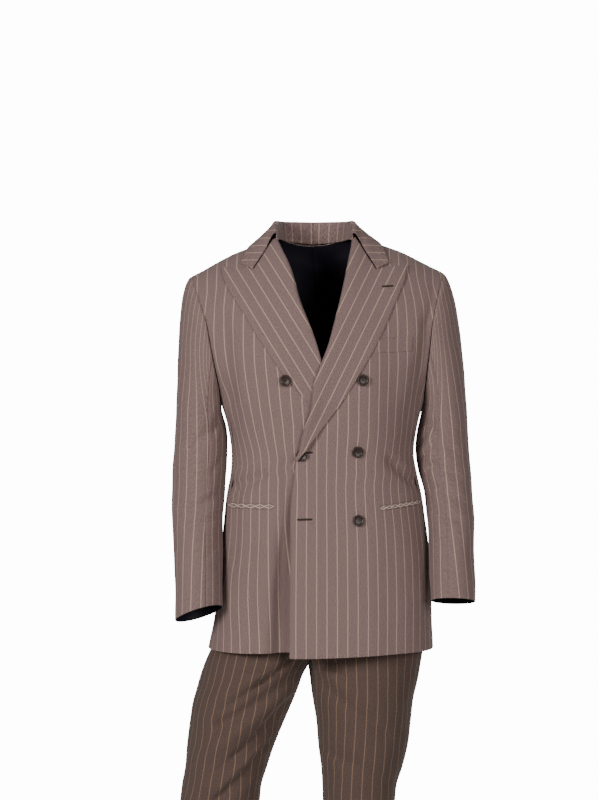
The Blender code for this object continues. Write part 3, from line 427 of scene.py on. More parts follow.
def creased(x, z, creases):
    """How far the creases in a table push the cloth out at x and z."""
    out = np.zeros(np.broadcast(x, z).shape)
    for x0, z0, x1, z1, width, height in creases:
        run = np.array((x1 - x0, z1 - z0))
        length = math.hypot(*run)
        along = ((x - x0) * run[0] + (z - z0) * run[1]) / length
        aside = ((x - x0) * run[1] - (z - z0) * run[0]) / length
        over = np.maximum(0, np.maximum(-along, along - length))
        out = out + height * np.exp(-(aside / width) ** 2 - (over / (2 * width)) ** 2)
    return out


# The jacket's body surface

def shoulder_height(x):
    return read(SHOULDER, 1, np.abs(x - SHOULDER_MIDDLE)) + SHOULDER_TILT * x


def level_of(x, z):
    """0 at the bottom of the armhole, 1 on the shoulder seam."""
    return np.clip((z - ARM_BOTTOM) / (shoulder_height(x) - ARM_BOTTOM), 0, 1)


def height_at(x, level):
    return ARM_BOTTOM + level * (shoulder_height(x) - ARM_BOTTOM)


def crown(level, power):
    return np.maximum(1 - level ** power, 0) ** (1 / power)


def body_y(x, z, back):
    middle, half = read(BODY, 1, z), read(BODY, 2, z)
    across = np.clip(np.abs(x - middle) / half, 0, 1)
    girth = np.maximum(1 - across ** BODY_ROUND, 0) ** (1 / BODY_ROUND)
    level = level_of(x, z)
    front = -read(BODY, 3, z) * crown(level, FRONT_CROWN)
    rear = read(BODY, 4, z) * crown(level, BACK_CROWN)
    return girth * np.where(back, rear, front)


def body_normal(points):
    """Direction straight out of the body at points on or near it."""
    def field(p):
        x, y, z = p[..., 0], p[..., 1], p[..., 2]
        level = np.clip(level_of(x, z), 0, 0.9999)
        front = read(BODY, 3, z) * crown(level, FRONT_CROWN)
        rear = read(BODY, 4, z) * crown(level, BACK_CROWN)
        depth = np.where(y > 0, rear, front)
        across = np.abs(x - read(BODY, 1, z)) / read(BODY, 2, z)
        return across ** BODY_ROUND + (np.abs(y) / depth) ** BODY_ROUND

    step = 0.0004
    slope = np.zeros(points.shape)
    for axis in range(3):
        move = np.zeros(3)
        move[axis] = step
        slope[..., axis] = field(points + move) - field(points - move)
    return slope / np.maximum(np.linalg.norm(slope, axis=-1, keepdims=True), 1e-12)


def lap_lift(x, z):
    """How far the left front stands off the right one that it laps."""
    return LAP_LIFT * (1 - ease(x, LAP_FULL, LAP_END)) * (1 - ease(z, LAP_TOP_FULL, LAP_TOP_END))


def on_front(x, z, lift):
    """Point of the front at x and height z, lifted off it."""
    x, z, lift = np.broadcast_arrays(x, z, lift)
    points = stack(x, body_y(x, z, False), z)
    inside = 1 - ease(level_of(x, z), 0.80, 0.95)
    out = lift + creased(x, z, JACKET_CREASES) * inside
    return points + body_normal(points) * out[..., None]


def side_angle(angle):
    return np.mod(angle, 2 * math.pi) > math.pi


def armhole(angle, side):
    """Point of the armhole seam: angle 0 at the shoulder, then down the front and up the back."""
    level = (1 + np.cos(angle)) / 2
    z = height_at(SHOULDER_MIDDLE + side * 0.2, level)
    for _ in range(6):
        x = read(BODY, 1, z) + side * np.minimum(read(ARMHOLE, 1, z), read(BODY, 2, z))
        z = height_at(x, level)
    return stack(x, body_y(x, z, side_angle(angle)), z)


def lapel_bottom(side):
    return LEFT_LAPEL_BOTTOM if side > 0 else RIGHT_LAPEL_BOTTOM


def across_share(point):
    """How far out a point of the body lies, as a share of the half width."""
    x, z = point[..., 0], point[..., 2]
    return np.abs(x - read(BODY, 1, z)) / read(BODY, 2, z)


def front_edge(z, side):
    """x of a front's inner edge; along the roll line it makes room for the rolled lapel."""
    table = LEFT_EDGE if side > 0 else RIGHT_EDGE
    bottom = lapel_bottom(side)
    rolled = ease(z, bottom - ROLL_FADE, bottom + ROLL_FADE)
    return read(table, 1, z) + side * ROLL_CLEAR * rolled


def warp(share):
    """Spaces columns closer together towards the side of the body."""
    return np.sin(share * PANEL_TURN) / math.sin(PANEL_TURN)


def panel_grid(u, v, inner, side, back, seam_angle, top_level):
    """x, height of a front or back: u from its inner edge out, v from the hem up."""
    seam_point = armhole(np.array(seam_angle), side)
    seam_share = across_share(seam_point)
    seam_level = (1 + math.cos(seam_angle)) / 2
    spread = warp(u)
    rise = np.clip(v / PANEL_SPLIT, 0, 1)
    z_low = HEM + (seam_point[2] - HEM) * rise
    for _ in range(4):
        start = inner(z_low)
        end = read(BODY, 1, z_low) + side * seam_share * read(BODY, 2, z_low)
        x_low = start + (end - start) * spread
        z_low = HEM + (height_at(x_low, seam_level) - HEM) * rise
    run = np.clip((v - PANEL_SPLIT) / (1 - PANEL_SPLIT), 0, 1)
    shoulder_angle = 2 * math.pi if back else 0.0
    turn = seam_angle + (shoulder_angle - seam_angle) * run
    out_x = armhole(turn, side)[..., 0]
    level = (1 + np.cos(turn)) / 2
    x_high = out_x * spread
    for _ in range(6):
        reach = level * top_level(x_high)
        start = inner(height_at(inner(height_at(x_high, reach)), reach))
        x_high = start + (out_x - start) * spread
    z_high = height_at(x_high, level * top_level(x_high))
    low = v < PANEL_SPLIT
    return np.where(low, x_low, x_high), np.where(low, z_low, z_high)


def full_level(x):
    return np.ones(np.shape(x))


def neck_level(x):
    """The back's neckline dips below the shoulder ridge between the two neck points."""
    share = np.clip(np.abs(x - COLLAR_MIDDLE) / NECK_HALF, 0, 1)
    return 1 - NECK_DROP * (1 - share ** 2)


def place_front(side):
    """A front, lapped: the left one's hem hangs a little lower at its edge, and the right one
    runs in under it."""
    def inner(z):
        return front_edge(z, side)

    def place(u, v):
        low = 1 - ease(v, 0.0, HEM_SHARE)
        u = u * (1 - PANEL_SIDE_INSET)
        v = v * (1 - PANEL_TOP_INSET)
        x, z = panel_grid(u, v, inner, side, False, FRONT_SIDE_SEAM, full_level)
        points = on_front(x, z, lap_lift(x, z) if side > 0 else 0.0)
        x, z = points[..., 0], points[..., 2]
        if side > 0:
            back = edge_fall(x, z)
            points[..., 2] += LEFT_HEM_STEP * low * (1 - ease(x, *LEFT_HEM_RUN))
        else:
            back = read(TUCK, 2, -z) * ease(x, read(TUCK, 1, -z), TUCK_END)
            points[..., 2] += RIGHT_HEM_STEP * low * ease(x, *RIGHT_HEM_RUN)
        return points - body_normal(points) * back[..., None]
    return place


def place_back(side):
    def inner(z):
        return read(BODY, 1, z) + side * HALF_GAP

    def place(u, v):
        u = u * (1 - PANEL_SIDE_INSET)
        v = v * (1 - PANEL_TOP_INSET)
        x, z = panel_grid(u, v, inner, side, True, BACK_SIDE_SEAM, neck_level)
        return stack(x, body_y(x, z, True), z)
    return place


def place_side(side):
    """Side panel under the arm: u from the front seam to the back seam, v from the hem up."""
    def place(u, v):
        u = SIDE_PANEL_INSET + u * (1 - 2 * SIDE_PANEL_INSET)
        turn = FRONT_SIDE_SEAM + (BACK_SIDE_SEAM - FRONT_SIDE_SEAM) * u
        top = armhole(turn, side)
        share = across_share(top)
        z = HEM + (top[..., 2] - HEM) * v
        x = read(BODY, 1, z) + side * share * read(BODY, 2, z)
        back = side_angle(turn)
        return stack(x, body_y(x, z, back), z)
    return place


# Lapels and collar

def gorge_line(share, side, drop):
    """The lapel's top edge, from the roll line down the gorge seam and out to the peak."""
    edge = LEFT_LAPEL_EDGE if side > 0 else RIGHT_LAPEL_EDGE
    start = (front_edge(LAPEL_GORGE, side), LAPEL_GORGE)
    turn = (COLLAR_MIDDLE + side * GORGE_END[0], GORGE_END[1] - drop)
    step = (COLLAR_MIDDLE + side * PEAK_STEP[0], PEAK_STEP[1] - drop)
    peak = (edge[-1][1], edge[-1][0])
    shares = (0.0, GORGE_SHARE, STEP_SHARE, 1.0)
    corners = (start, turn, step, peak)
    x = np.interp(share, shares, [corner[0] for corner in corners])
    z = np.interp(share, shares, [corner[1] for corner in corners])
    return x, z


def lapel_outline(share, v, side):
    """x and height on the lapel: share 0 on the roll line, 1 on its outer edge."""
    edge = LEFT_LAPEL_EDGE if side > 0 else RIGHT_LAPEL_EDGE
    bottom = lapel_bottom(side)
    roll_z = bottom + (LAPEL_GORGE - bottom) * v
    roll_x = front_edge(roll_z, side)
    edge_z = bottom + (edge[-1][0] - bottom) * v
    x = roll_x + (read(edge, 1, edge_z) - roll_x) * share
    z = roll_z + (edge_z - roll_z) * share
    top_x, top_z = gorge_line(share, side, GORGE_GAP)
    flat_x = front_edge(LAPEL_GORGE, side)
    flat_x = flat_x + (edge[-1][1] - flat_x) * share
    flat_z = LAPEL_GORGE + (edge[-1][0] - LAPEL_GORGE) * share
    pull = v ** 5
    return x + (top_x - flat_x) * pull, z + (top_z - flat_z) * pull


def roll_loft(v, side):
    """How much fuller the roll is at its lower end, where it passes over the middle button."""
    if side < 0:
        return 0 * v
    return ROLL_LOFT * ease(v, *LOFT_START) * (1 - ease(v, *LOFT_END))


def place_lapel(side):
    """u from under the roll line out to the lapel's edge, v from its lower tip to the gorge."""
    def place(u, v):
        share = np.clip((u - ROLL_SHARE) / (1 - ROLL_SHARE), 0, 1)
        x, z = lapel_outline(share, v, side)
        turn = ROLL_START + (math.pi - ROLL_START) * np.clip(u / ROLL_SHARE, 0, 1)
        loft = roll_loft(v, side)
        aside = (ROLL_CLEAR + LOFT_ASIDE * loft) * np.sin(turn)
        x = x - side * aside * ROLL_REACH
        z = z + aside * ROLL_DROP * (1 - v)
        flat = -CLOTH / 2 - (ROLL_RADIUS + loft) * np.cos(turn)
        above = ease(v, *(LEFT_PUFF if side > 0 else RIGHT_PUFF))
        puff = ROLL_PUFF * above * np.exp(-(share / PUFF_WIDTH) ** 2) * ease(u, 0.0, ROLL_SHARE)
        tip = PEAK_LIFT * ease(v, 0.75, 1.0) * ease(share, 0.4, 1.0)
        base = lap_lift(x, z) if side > 0 else 0.0
        return on_front(x, z, base + flat + puff + tip + front_relief(x, z) * LAPEL_RELIEF)
    return place


def mirrored_share(v):
    return np.minimum(v, 1 - v)


def collar_fold(v):
    side = np.where(v < 0.5, -1.0, 1.0)
    at = mirrored_share(v)
    x = COLLAR_MIDDLE + side * read(COLLAR_FOLD, 1, at)
    return stack(x, read(COLLAR_FOLD, 2, at), read(COLLAR_FOLD, 3, at))


def collar_edge(v, lift):
    side = np.where(v < 0.5, -1.0, 1.0)
    at = mirrored_share(v)
    x = COLLAR_MIDDLE + side * read(COLLAR_EDGE, 1, at)
    drop = read(COLLAR_EDGE, 2, at)
    z = height_at(x, 1 - drop ** 2)
    points = stack(x, body_y(x, z, drop > 0), z)
    return points + body_normal(points) * lift


def place_collar(u, v):
    """u from the stand's seam over the fold to the leaf's edge, v from the right end round."""
    stand_share, fold_share = COLLAR_STAND_SHARE, COLLAR_FOLD_SHARE
    fold = collar_fold(v)
    step = SLOPE_STEP
    ahead = collar_fold(np.clip(v + step, 0, 1)) - collar_fold(np.clip(v - step, 0, 1))
    ahead = ahead / np.linalg.norm(ahead, axis=-1, keepdims=True)
    edge = collar_edge(v, COLLAR_REST)
    fall = edge - fold
    fall = fall / np.linalg.norm(fall, axis=-1, keepdims=True)
    out = np.cross(fall, ahead)
    out = out / np.linalg.norm(out, axis=-1, keepdims=True)
    out = out * np.sign(np.sum(out * (fold - np.array(NECK_BELOW)), axis=-1, keepdims=True))
    at = mirrored_share(v)
    radius = COLLAR_FOLD_RADIUS
    centre = fold + fall * radius
    turn = math.pi * np.clip((u - stand_share) / (fold_share - stand_share), 0, 1)
    curl = centre - out * (radius * np.cos(turn))[..., None] - fall * (radius * np.sin(turn))[..., None]
    share = np.clip((u - fold_share) / (1 - fold_share), 0, 1)
    leaf_start = centre + out * radius
    leaf = leaf_start + (edge - leaf_start) * share[..., None]
    leaf = leaf + out * (read(COLLAR_STAND, 3, at) * np.sin(math.pi * share))[..., None]
    height, lean = read(COLLAR_STAND, 1, at), read(COLLAR_STAND, 2, at)
    below = np.clip(1 - u / stand_share, 0, 1)
    down = np.array((0.0, 0.0, -1.0))
    inwards = -(fold - np.array(NECK_AXIS)) * np.array((1.0, 1.0, 0.0))
    inwards = inwards / np.maximum(np.linalg.norm(inwards, axis=-1, keepdims=True), 1e-9)
    sink = down * height[..., None] + inwards * lean[..., None]
    stand = centre - out * radius + sink * below[..., None]
    points = np.where((u < fold_share)[..., None], curl, leaf)
    points = np.where((u < stand_share)[..., None], stand, points)
    for side in (-1, 1):
        end = np.array(0.0 if side < 0 else 1.0)
        near = np.clip(1 - (v if side < 0 else 1 - v) / COLLAR_END_SHARE, 0, 1) ** 2
        x0 = front_edge(LAPEL_GORGE, side)
        xs = np.array((x0, COLLAR_MIDDLE + side * GORGE_END[0], COLLAR_MIDDLE + side * COLLAR_CORNER[0]))
        zs = (LAPEL_GORGE + COLLAR_LAPEL_GAP[0], GORGE_END[1] + COLLAR_LAPEL_GAP[1], COLLAR_CORNER[1])
        stops = (0.0, COLLAR_BEND_SHARE, 1.0)
        x = side * np.interp(share, stops, side * xs)
        wanted = on_front(x, np.interp(share, stops, zs), COLLAR_REST)
        end_fold = collar_fold(end)
        end_edge = collar_edge(end, COLLAR_REST)
        straight = end_fold + (end_edge - end_fold) * share[..., None]
        weight = near * ease(share, 0.0, 0.25) * (u >= fold_share)
        points = points + (wanted - straight) * weight[..., None]
    return points


# Sleeves

def sleeve_ring(angle, z, side):
    table = LEFT_SLEEVE if side > 0 else RIGHT_SLEEVE
    outer, inner = read(table, 1, z), read(table, 2, z)
    middle, half = (outer + inner) / 2, np.abs(outer - inner) / 2
    x = middle + side * half * np.cos(angle)
    y = read(table, 3, z) - read(table, 4, z) * np.sin(angle)
    return stack(x, y, z)


def place_sleeve(side, start, end):
    """u round the arm from one seam to the other, v from the armhole to the cuff."""
    level, inner_rise, front_rise = LEFT_CUFF if side > 0 else RIGHT_CUFF
    creases = LEFT_SLEEVE_CREASES if side > 0 else RIGHT_SLEEVE_CREASES

    def place(u, v):
        angle = start + (end - start) * (SLEEVE_SEAM_SHARE + (1 - 2 * SLEEVE_SEAM_SHARE) * u)
        seam = armhole(angle, side)
        ring_z = np.full(np.shape(angle), SLEEVE_HEAD_END)
        ring = sleeve_ring(angle, ring_z, side)
        below = (sleeve_ring(angle, ring_z - RING_STEP, side) - ring) / RING_STEP
        outer = np.cos(angle)
        leave = stack(side * (HEAD_OUT[0] + HEAD_OUT[1] * outer), -HEAD_FORWARD * np.sin(angle),
                      HEAD_DOWN[0] + HEAD_DOWN[1] * outer)
        push = (HEAD_FULLNESS[0] + HEAD_FULLNESS[1] * outer)[..., None]
        pull = (HEAD_EASE[0] + HEAD_EASE[1] * outer)[..., None]
        seam = seam + leave * SEAM_GAP * 2
        share = np.clip(v / SLEEVE_HEAD_SHARE, 0, 1)[..., None]
        head = ((1 - share) ** 3 * seam + 3 * (1 - share) ** 2 * share * (seam + leave * push)
                + 3 * (1 - share) * share ** 2 * (ring - below * pull) + share ** 3 * ring)
        cuff = level - inner_rise * np.cos(angle) + front_rise * np.sin(angle)
        run = np.clip((v - SLEEVE_HEAD_SHARE) / (1 - SLEEVE_HEAD_SHARE), 0, 1)
        arm = sleeve_ring(angle, SLEEVE_HEAD_END + (cuff - SLEEVE_HEAD_END) * run, side)
        points = np.where((v < SLEEVE_HEAD_SHARE)[..., None], head, arm)
        facing = np.clip(np.sin(angle), 0, 1)
        points[..., 1] -= creased(points[..., 0], points[..., 2], creases) * facing
        return points
    return place


# Trousers

def place_leg(side, back):
    """u from the fly or inseam out to the side seam, v from the waistband down to the hem."""
    table = LEFT_LEG if side > 0 else RIGHT_LEG
    creases = LEFT_LEG_CREASES if side > 0 else RIGHT_LEG_CREASES

    def place(u, v):
        u = LEG_SEAM_SHARE + (1 - 2 * LEG_SEAM_SHARE) * u
        trunk = np.clip(v / TRUNK_SHARE, 0, 1)
        leg = np.clip((v - TRUNK_SHARE) / (1 - TRUNK_SHARE), 0, 1)
        z = WAIST_BOTTOM - SEAM_GAP + (CROTCH - WAIST_BOTTOM) * np.sin(trunk * math.pi / 2)
        z = np.where(v < TRUNK_SHARE, z, CROTCH + (TROUSER_HEM - CROTCH) * leg ** LEG_ROW_SPREAD)
        inner = np.where(z > CROTCH, read(CENTRE_SEAM, 1, z), read(table, 1, z))
        outer = read(table, 2, z)
        front, rear = read(table, 3, z), read(table, 4, z)
        quarter = u * math.pi / 2
        facing = rear if back else -front
        hip_x = inner + (outer - inner) * np.sin(quarter)
        hip_y = facing * np.cos(quarter) ** HIP_SQUARENESS
        turn = u * math.pi
        leg_x = (inner + outer) / 2 - (outer - inner) / 2 * np.cos(turn)
        sign = 1.0 if back else -1.0
        leg_y = (rear - front) / 2 + sign * (rear + front) / 2 * np.sin(turn)
        fall = np.clip((FORK_START - z) / (FORK_START - CROTCH), 0, 1)
        fork = 1 - np.sqrt(np.maximum(1 - fall ** 2, 0))
        thigh = ease(-z, -FORK_START, THIGH_END)
        blend = fork * (1 - u) + thigh * u
        x = hip_x + (leg_x - hip_x) * blend
        y = hip_y + (leg_y - hip_y) * blend
        if not back:
            y = y - creased(x, z, creases) * np.sin(turn)
        return stack(x, y, z)
    return place


def place_waistband(u, v):
    """u once round the waist from the centre front, v from the bottom up."""
    angle = WAIST_END_ANGLE + u * 2 * (math.pi - WAIST_END_ANGLE)
    z = WAIST_BOTTOM + (WAIST_TOP - WAIST_BOTTOM) * v
    middle = read(LEFT_LEG, 1, z)
    half = np.where(np.sin(angle) > 0, read(LEFT_LEG, 2, z) - middle, middle - read(RIGHT_LEG, 2, z))
    quarter_y = np.abs(np.cos(angle)) ** HIP_SQUARENESS
    y = np.where(np.cos(angle) > 0, -read(LEFT_LEG, 3, z), read(LEFT_LEG, 4, z)) * quarter_y
    return stack(middle + half * np.sin(angle), y, z)


def place_fly(u, v):
    """Placket over the left trouser front, beside the centre front seam."""
    z = FLY_BOTTOM + (WAIST_BOTTOM - FLY_TOP_GAP - FLY_BOTTOM) * v
    middle, outer = read(LEFT_LEG, 1, z), read(LEFT_LEG, 2, z)
    width = FLY_WIDTH * np.sqrt(np.clip(v * FLY_POINT[0], FLY_POINT[1], 1))
    share = LEG_SEAM_SHARE + width * u / (outer - middle)
    quarter = np.arcsin(share)
    y = -read(LEFT_LEG, 3, z) * np.cos(quarter) ** HIP_SQUARENESS - SEAM_GAP - JET_CLOTH
    return stack(middle + (outer - middle) * share, y, z)


# Finer form of the cloth

CLOTH_STEP = 0.0048
LAPEL_STEP = 0.0030
SLEEVE_TOP_STEP = 0.0040
SLEEVE_UNDER_STEP = 0.0036
COLLAR_STEP = 0.0026
CLOTH_SHARP = math.radians(52)
HORN_SHARP = math.radians(35)
EDGE_TURN = 0.0016
EDGE_DROP = 0.0006
SEAM_WIDTH = 0.0035
SEAM_DEPTH = 0.0008
SEAM_REACH = 0.0006
COARSE_ROWS = 25
SLEEVE_REACH = 0.0010
SIDE_SEAM_FADE = 0.09
SLEEVE_HEAD_FADE = 0.06
LEG_SEAM_FADE = 1.5
MIDDLE_SEAM_DEPTH = 0.0006
MIDDLE_SEAM_WIDTH = 0.003
ARM_RADIUS = 0.05
ELBOW_HEIGHT = -0.400
ELBOW_WIDTH = 0.010
ELBOW_DEPTH = 0.0030
STRIPE_PITCH = 0.0187
LAPEL_PITCH = 0.0182
STRIPE_RUN_ON = 0.3
# Lapel stripes: how far they lean across for each metre up, x and height of a point of one
RIGHT_LAPEL_STRIPE = (0.61, -0.1220, -0.108)
LEFT_LAPEL_STRIPE = (-0.49, 0.1107, -0.108)
# Collar stripes: where they turn from level to upright, where the two meet, start and spread
COLLAR_TURN = (0.14, 0.30)
COLLAR_MATCH = 0.22
COLLAR_LEVEL = 0.0085
COLLAR_SPREAD = 1.39
# Where the first stripe lies, from the seam the stripes are counted from
SIDE_STRIPE = 0.006
BACK_STRIPE = 0.0094
UNDER_SLEEVE_STRIPE = 0.004
BACK_LEG_STRIPE = 0.009

# Lines of the stripe seen in the photo: image row, image column
RIGHT_FRONT_LINE = (
    (270, 257.0), (300, 254.5), (330, 253.9), (362, 254.5), (400, 258.9), (430, 263.6), (462, 269.0),
    (482, 268.4), (540, 268.1), (600, 269.2), (640, 270.8),
)
RIGHT_FRONT_OUTER_LINE = (
    (281, 225.0), (312, 222.6), (350, 223.3), (375, 227.0), (400, 233.3), (430, 239.8), (468, 247.0),
    (488, 244.0), (540, 242.0), (600, 238.1), (640, 240.0),
)
RIGHT_FRONT_COUNT = 3
LEFT_FRONT_LINE = (
    (270, 317.0),
    (640, 316.5),
)
LEFT_FRONT_OUTER_LINE = (
    (270, 410.0), (285, 412.8), (302, 416.0), (333, 417.5), (350, 417.2), (400, 411.9), (430, 408.8),
    (455, 406.5), (480, 406.1), (540, 411.9), (600, 414.2), (640, 414.0),
)
LEFT_FRONT_COUNT = 10
RIGHT_SLEEVE_LINE = (
    (262, 205.0), (300, 200.0), (332, 195.8), (401, 196.4), (496, 196.0), (552, 193.0), (608, 192.0),
)
LEFT_SLEEVE_LINE = (
    (262, 433.0), (290, 437.5), (350, 444.8), (400, 449.9), (430, 452.8), (480, 457.0), (540, 462.0),
    (594, 466.0),
)
RIGHT_LEG_LINE = (
    (500, 258.0), (600, 252.0), (654, 247.4), (690, 238.3), (740, 228.7), (780, 221.8), (850, 212.0),
    (920, 205.0), (1000, 197.0), (1130, 188.5),
)
LEFT_LEG_LINE = (
    (500, 366.0), (655, 366.5), (690, 367.1), (740, 365.1), (780, 362.3), (850, 360.5), (1130, 360.8),
)
# How far the shown surface is from the middle plane
FRONT_DEPTH = -0.125
SLEEVE_DEPTH = -0.075
LEG_DEPTH = -0.080

# Small folds read from the photo: both ends as image column and row, half width, how far out
FRONT_FOLDS = (
    (230, 492, 262, 477, 0.0055, -0.0042),
    (229, 502, 250, 488, 0.005, -0.0026),
    (230, 483, 266, 469, 0.007, 0.0018),
    (392, 463, 416, 486, 0.0055, -0.0034),
    (397, 457, 421, 478, 0.007, 0.0018),
    (286, 470, 282, 655, 0.013, -0.0072),
    (262, 560, 258, 655, 0.016, 0.0022),
    (236, 505, 233, 560, 0.008, -0.002),
    (244, 500, 243, 640, 0.01, 0.001),
    (313, 447, 335, 410, 0.01, -0.0026),
    (221, 322, 228, 398, 0.01, -0.0034),
    (233, 318, 243, 402, 0.01, 0.0016),
    (429, 322, 421, 398, 0.01, -0.0036),
    (416, 330, 411, 398, 0.011, 0.0014),
    (436, 285, 432, 322, 0.008, -0.0018),
    (205, 285, 214, 322, 0.008, -0.0018),
    (395, 520, 400, 640, 0.016, 0.001),
    (425, 520, 431, 630, 0.01, -0.0014),
)
RIGHT_SLEEVE_FOLDS = (
    (222, 402, 214, 432, 0.005, -0.0028),
    (217, 398, 210, 426, 0.006, 0.0014),
    (224, 452, 214, 470, 0.005, -0.0022),
    (226, 490, 206, 500, 0.006, -0.0018),
    (200, 512, 178, 520, 0.008, -0.001),
    (222, 540, 208, 556, 0.006, -0.0014),
    (188, 300, 184, 360, 0.009, -0.0012),
    (197, 278, 205, 300, 0.006, -0.0016),
)
LEFT_SLEEVE_FOLDS = (
    (416, 452, 431, 424, 0.0042, -0.0046),
    (418, 444, 433, 416, 0.005, 0.0024),
    (416, 468, 432, 444, 0.0042, -0.0046),
    (418, 461, 434, 437, 0.005, 0.0026),
    (418, 488, 431, 466, 0.0042, -0.004),
    (420, 480, 434, 458, 0.005, 0.0022),
    (420, 512, 430, 494, 0.0045, -0.003),
    (432, 400, 436, 470, 0.005, -0.002),
    (440, 512, 458, 522, 0.008, -0.001),
    (452, 278, 446, 300, 0.006, -0.0016),
    (437, 540, 446, 556, 0.006, -0.0012),
)
RIGHT_LEG_FOLDS = (
    (297, 657, 262, 683, 0.006, -0.006),
    (262, 683, 228, 705, 0.006, -0.0045),
    (287, 705, 262, 731, 0.0055, -0.005),
    (262, 731, 236, 754, 0.0055, -0.005),
    (236, 754, 212, 774, 0.006, -0.003),
    (270, 745, 246, 771, 0.005, -0.005),
    (246, 771, 219, 798, 0.0055, -0.0045),
    (222, 710, 218, 760, 0.006, -0.0016),
    (208, 830, 190, 858, 0.008, -0.002),
)
LEFT_LEG_FOLDS = (
    (330, 663, 364, 694, 0.0075, -0.0044),
    (322, 672, 356, 704, 0.009, 0.0022),
    (322, 752, 342, 762, 0.006, -0.0026),
    (404, 735, 392, 772, 0.008, -0.0022),
    (398, 700, 408, 742, 0.009, 0.0012),
    (328, 800, 350, 822, 0.008, -0.002),
)
# Soft waves of worn cloth: heights, then wavelength, direction in degrees, share, phase
FRONT_WAVE = 0.00030
BACK_WAVE = 0.00035
SIDE_WAVE = 0.0004
SLEEVE_WAVE = 0.0005
LEG_WAVE = 0.0007
WAVES = (
    (0.150, 12, 1.00, 0.4),
    (0.094, 97, 0.55, 1.9),
    (0.063, 38, 0.40, 3.3),
    (0.047, 131, 0.30, 5.0),
)


def from_photo(column, row, depth):
    """x and height of a point seen at a pixel of the photo, at a given depth."""
    scale = PIXEL * (VIEW_DISTANCE + depth) / VIEW_DISTANCE
    return VIEW_X + (column - PHOTO_MIDDLE[0]) * scale, VIEW_Z - (row - PHOTO_MIDDLE[1]) * scale


def line_of(table, depth):
    """A stripe's line as height and x."""
    points = [from_photo(column, row, depth) for row, column in table]
    return [(z, x) for x, z in points]


def folds_of(table, depth):
    rows = []
    for column0, row0, column1, row1, width, height in table:
        x0, z0 = from_photo(column0, row0, depth)
        x1, z1 = from_photo(column1, row1, depth)
        rows.append((x0, z0, x1, z1, width, height))
    return rows


FRONT_RELIEF = folds_of(FRONT_FOLDS, FRONT_DEPTH)
RIGHT_SLEEVE_RELIEF = folds_of(RIGHT_SLEEVE_FOLDS, SLEEVE_DEPTH)
LEFT_SLEEVE_RELIEF = folds_of(LEFT_SLEEVE_FOLDS, SLEEVE_DEPTH)
RIGHT_LEG_RELIEF = folds_of(RIGHT_LEG_FOLDS, LEG_DEPTH)
LEFT_LEG_RELIEF = folds_of(LEFT_LEG_FOLDS, LEG_DEPTH)


def waves(a, b, height, phase):
    out = 0
    for length, heading, share, start in WAVES:
        turn = math.radians(heading)
        along = a * math.cos(turn) + b * math.sin(turn)
        out = out + share * np.sin(2 * math.pi * along / length + start + phase)
    return height * out


def front_relief(x, z):
    return creased(x, z, FRONT_RELIEF) + waves(x, z, FRONT_WAVE, 0.0)


def edge_fall(x, z):
    """The lapped edge lies down on the front below it, under the lapel's end."""
    from_edge = x - read(LEFT_EDGE, 1, z)
    return EDGE_FALL * (1 - ease(from_edge, 0.0, EDGE_FALL_WIDTH)) * (1 - ease(z, *EDGE_FALL_TOP))


def arc_along(points, axis):
    """Distance run along each row (axis 1) or each column (axis 0) of a grid of points."""
    step = np.linalg.norm(np.diff(points, axis=axis), axis=-1)
    start = np.zeros_like(np.take(step, [0], axis=axis))
    return np.concatenate((start, np.cumsum(step, axis=axis)), axis=axis)


def arc_at(points, arc, line, first):
    """Arc of each row where a stripe's line crosses it; beyond an end it runs on straight."""
    found = []
    for row, run in zip(points[:, first:], arc[:, first:]):
        gap = row[:, 0] - read(line, 1, row[:, 2])
        if gap[-1] < gap[0]:
            gap = -gap
        gap = np.concatenate(([gap[0] - STRIPE_RUN_ON], gap, [gap[-1] + STRIPE_RUN_ON]))
        run = np.concatenate(([run[0] - STRIPE_RUN_ON], run, [run[-1] + STRIPE_RUN_ON]))
        found.append(np.interp(0.0, gap, run))
    return np.array(found)[:, None]


def stripes_on_line(line, first_share=0.0):
    def stripes(points, across, along):
        arc = arc_along(points, 1)
        first = int(first_share * (points.shape[1] - 1))
        return arc - arc_at(points, arc, line, first)
    return stripes


def stripes_between(line, outer_line, count):
    def stripes(points, across, along):
        arc = arc_along(points, 1)
        start = arc_at(points, arc, line, 0)
        end = arc_at(points, arc, outer_line, 0)
        return (arc - start) / (end - start) * count * STRIPE_PITCH
    return stripes


def stripes_from_edge(shift):
    def stripes(points, across, along):
        return arc_along(points, 1) + shift
    return stripes


def stripes_on_lapel(side):
    """Straight grain along the lapel's outer edge."""
    lean, x, z = LEFT_LAPEL_STRIPE if side > 0 else RIGHT_LAPEL_STRIPE

    def stripes(points, across, along):
        gap = (points[..., 0] - x) + lean * (points[..., 2] - z)
        return gap / math.hypot(1, lean) * STRIPE_PITCH / LAPEL_PITCH
    return stripes


def stripes_on_collar(points, across, along):
    """Across the leaf at the front, where the stripe lies level, and upright at the back."""
    at = mirrored_share(along)
    middle = points.shape[1] // 2
    run = arc_along(points, 0)[:, middle:middle + 1]
    run = np.minimum(run, run[-1] - run)
    turned = ease(at, *COLLAR_TURN)
    level = (points[..., 2] + COLLAR_LEVEL) * COLLAR_SPREAD
    match = np.argmin(np.abs(at[:, 0] - COLLAR_MATCH))
    return (1 - turned) * level + turned * (run - run[match] + level[match, middle])


def spaced(count, length):
    """Stations from 0 to 1, even but for one close to each end, where the edge turns in."""
    near = min(EDGE_TURN / length, 0.2 / count)
    between = np.linspace(2.5 * near, 1 - 2.5 * near, count - 3)
    return np.concatenate(([0.0, near], between, [1 - near, 1.0]))


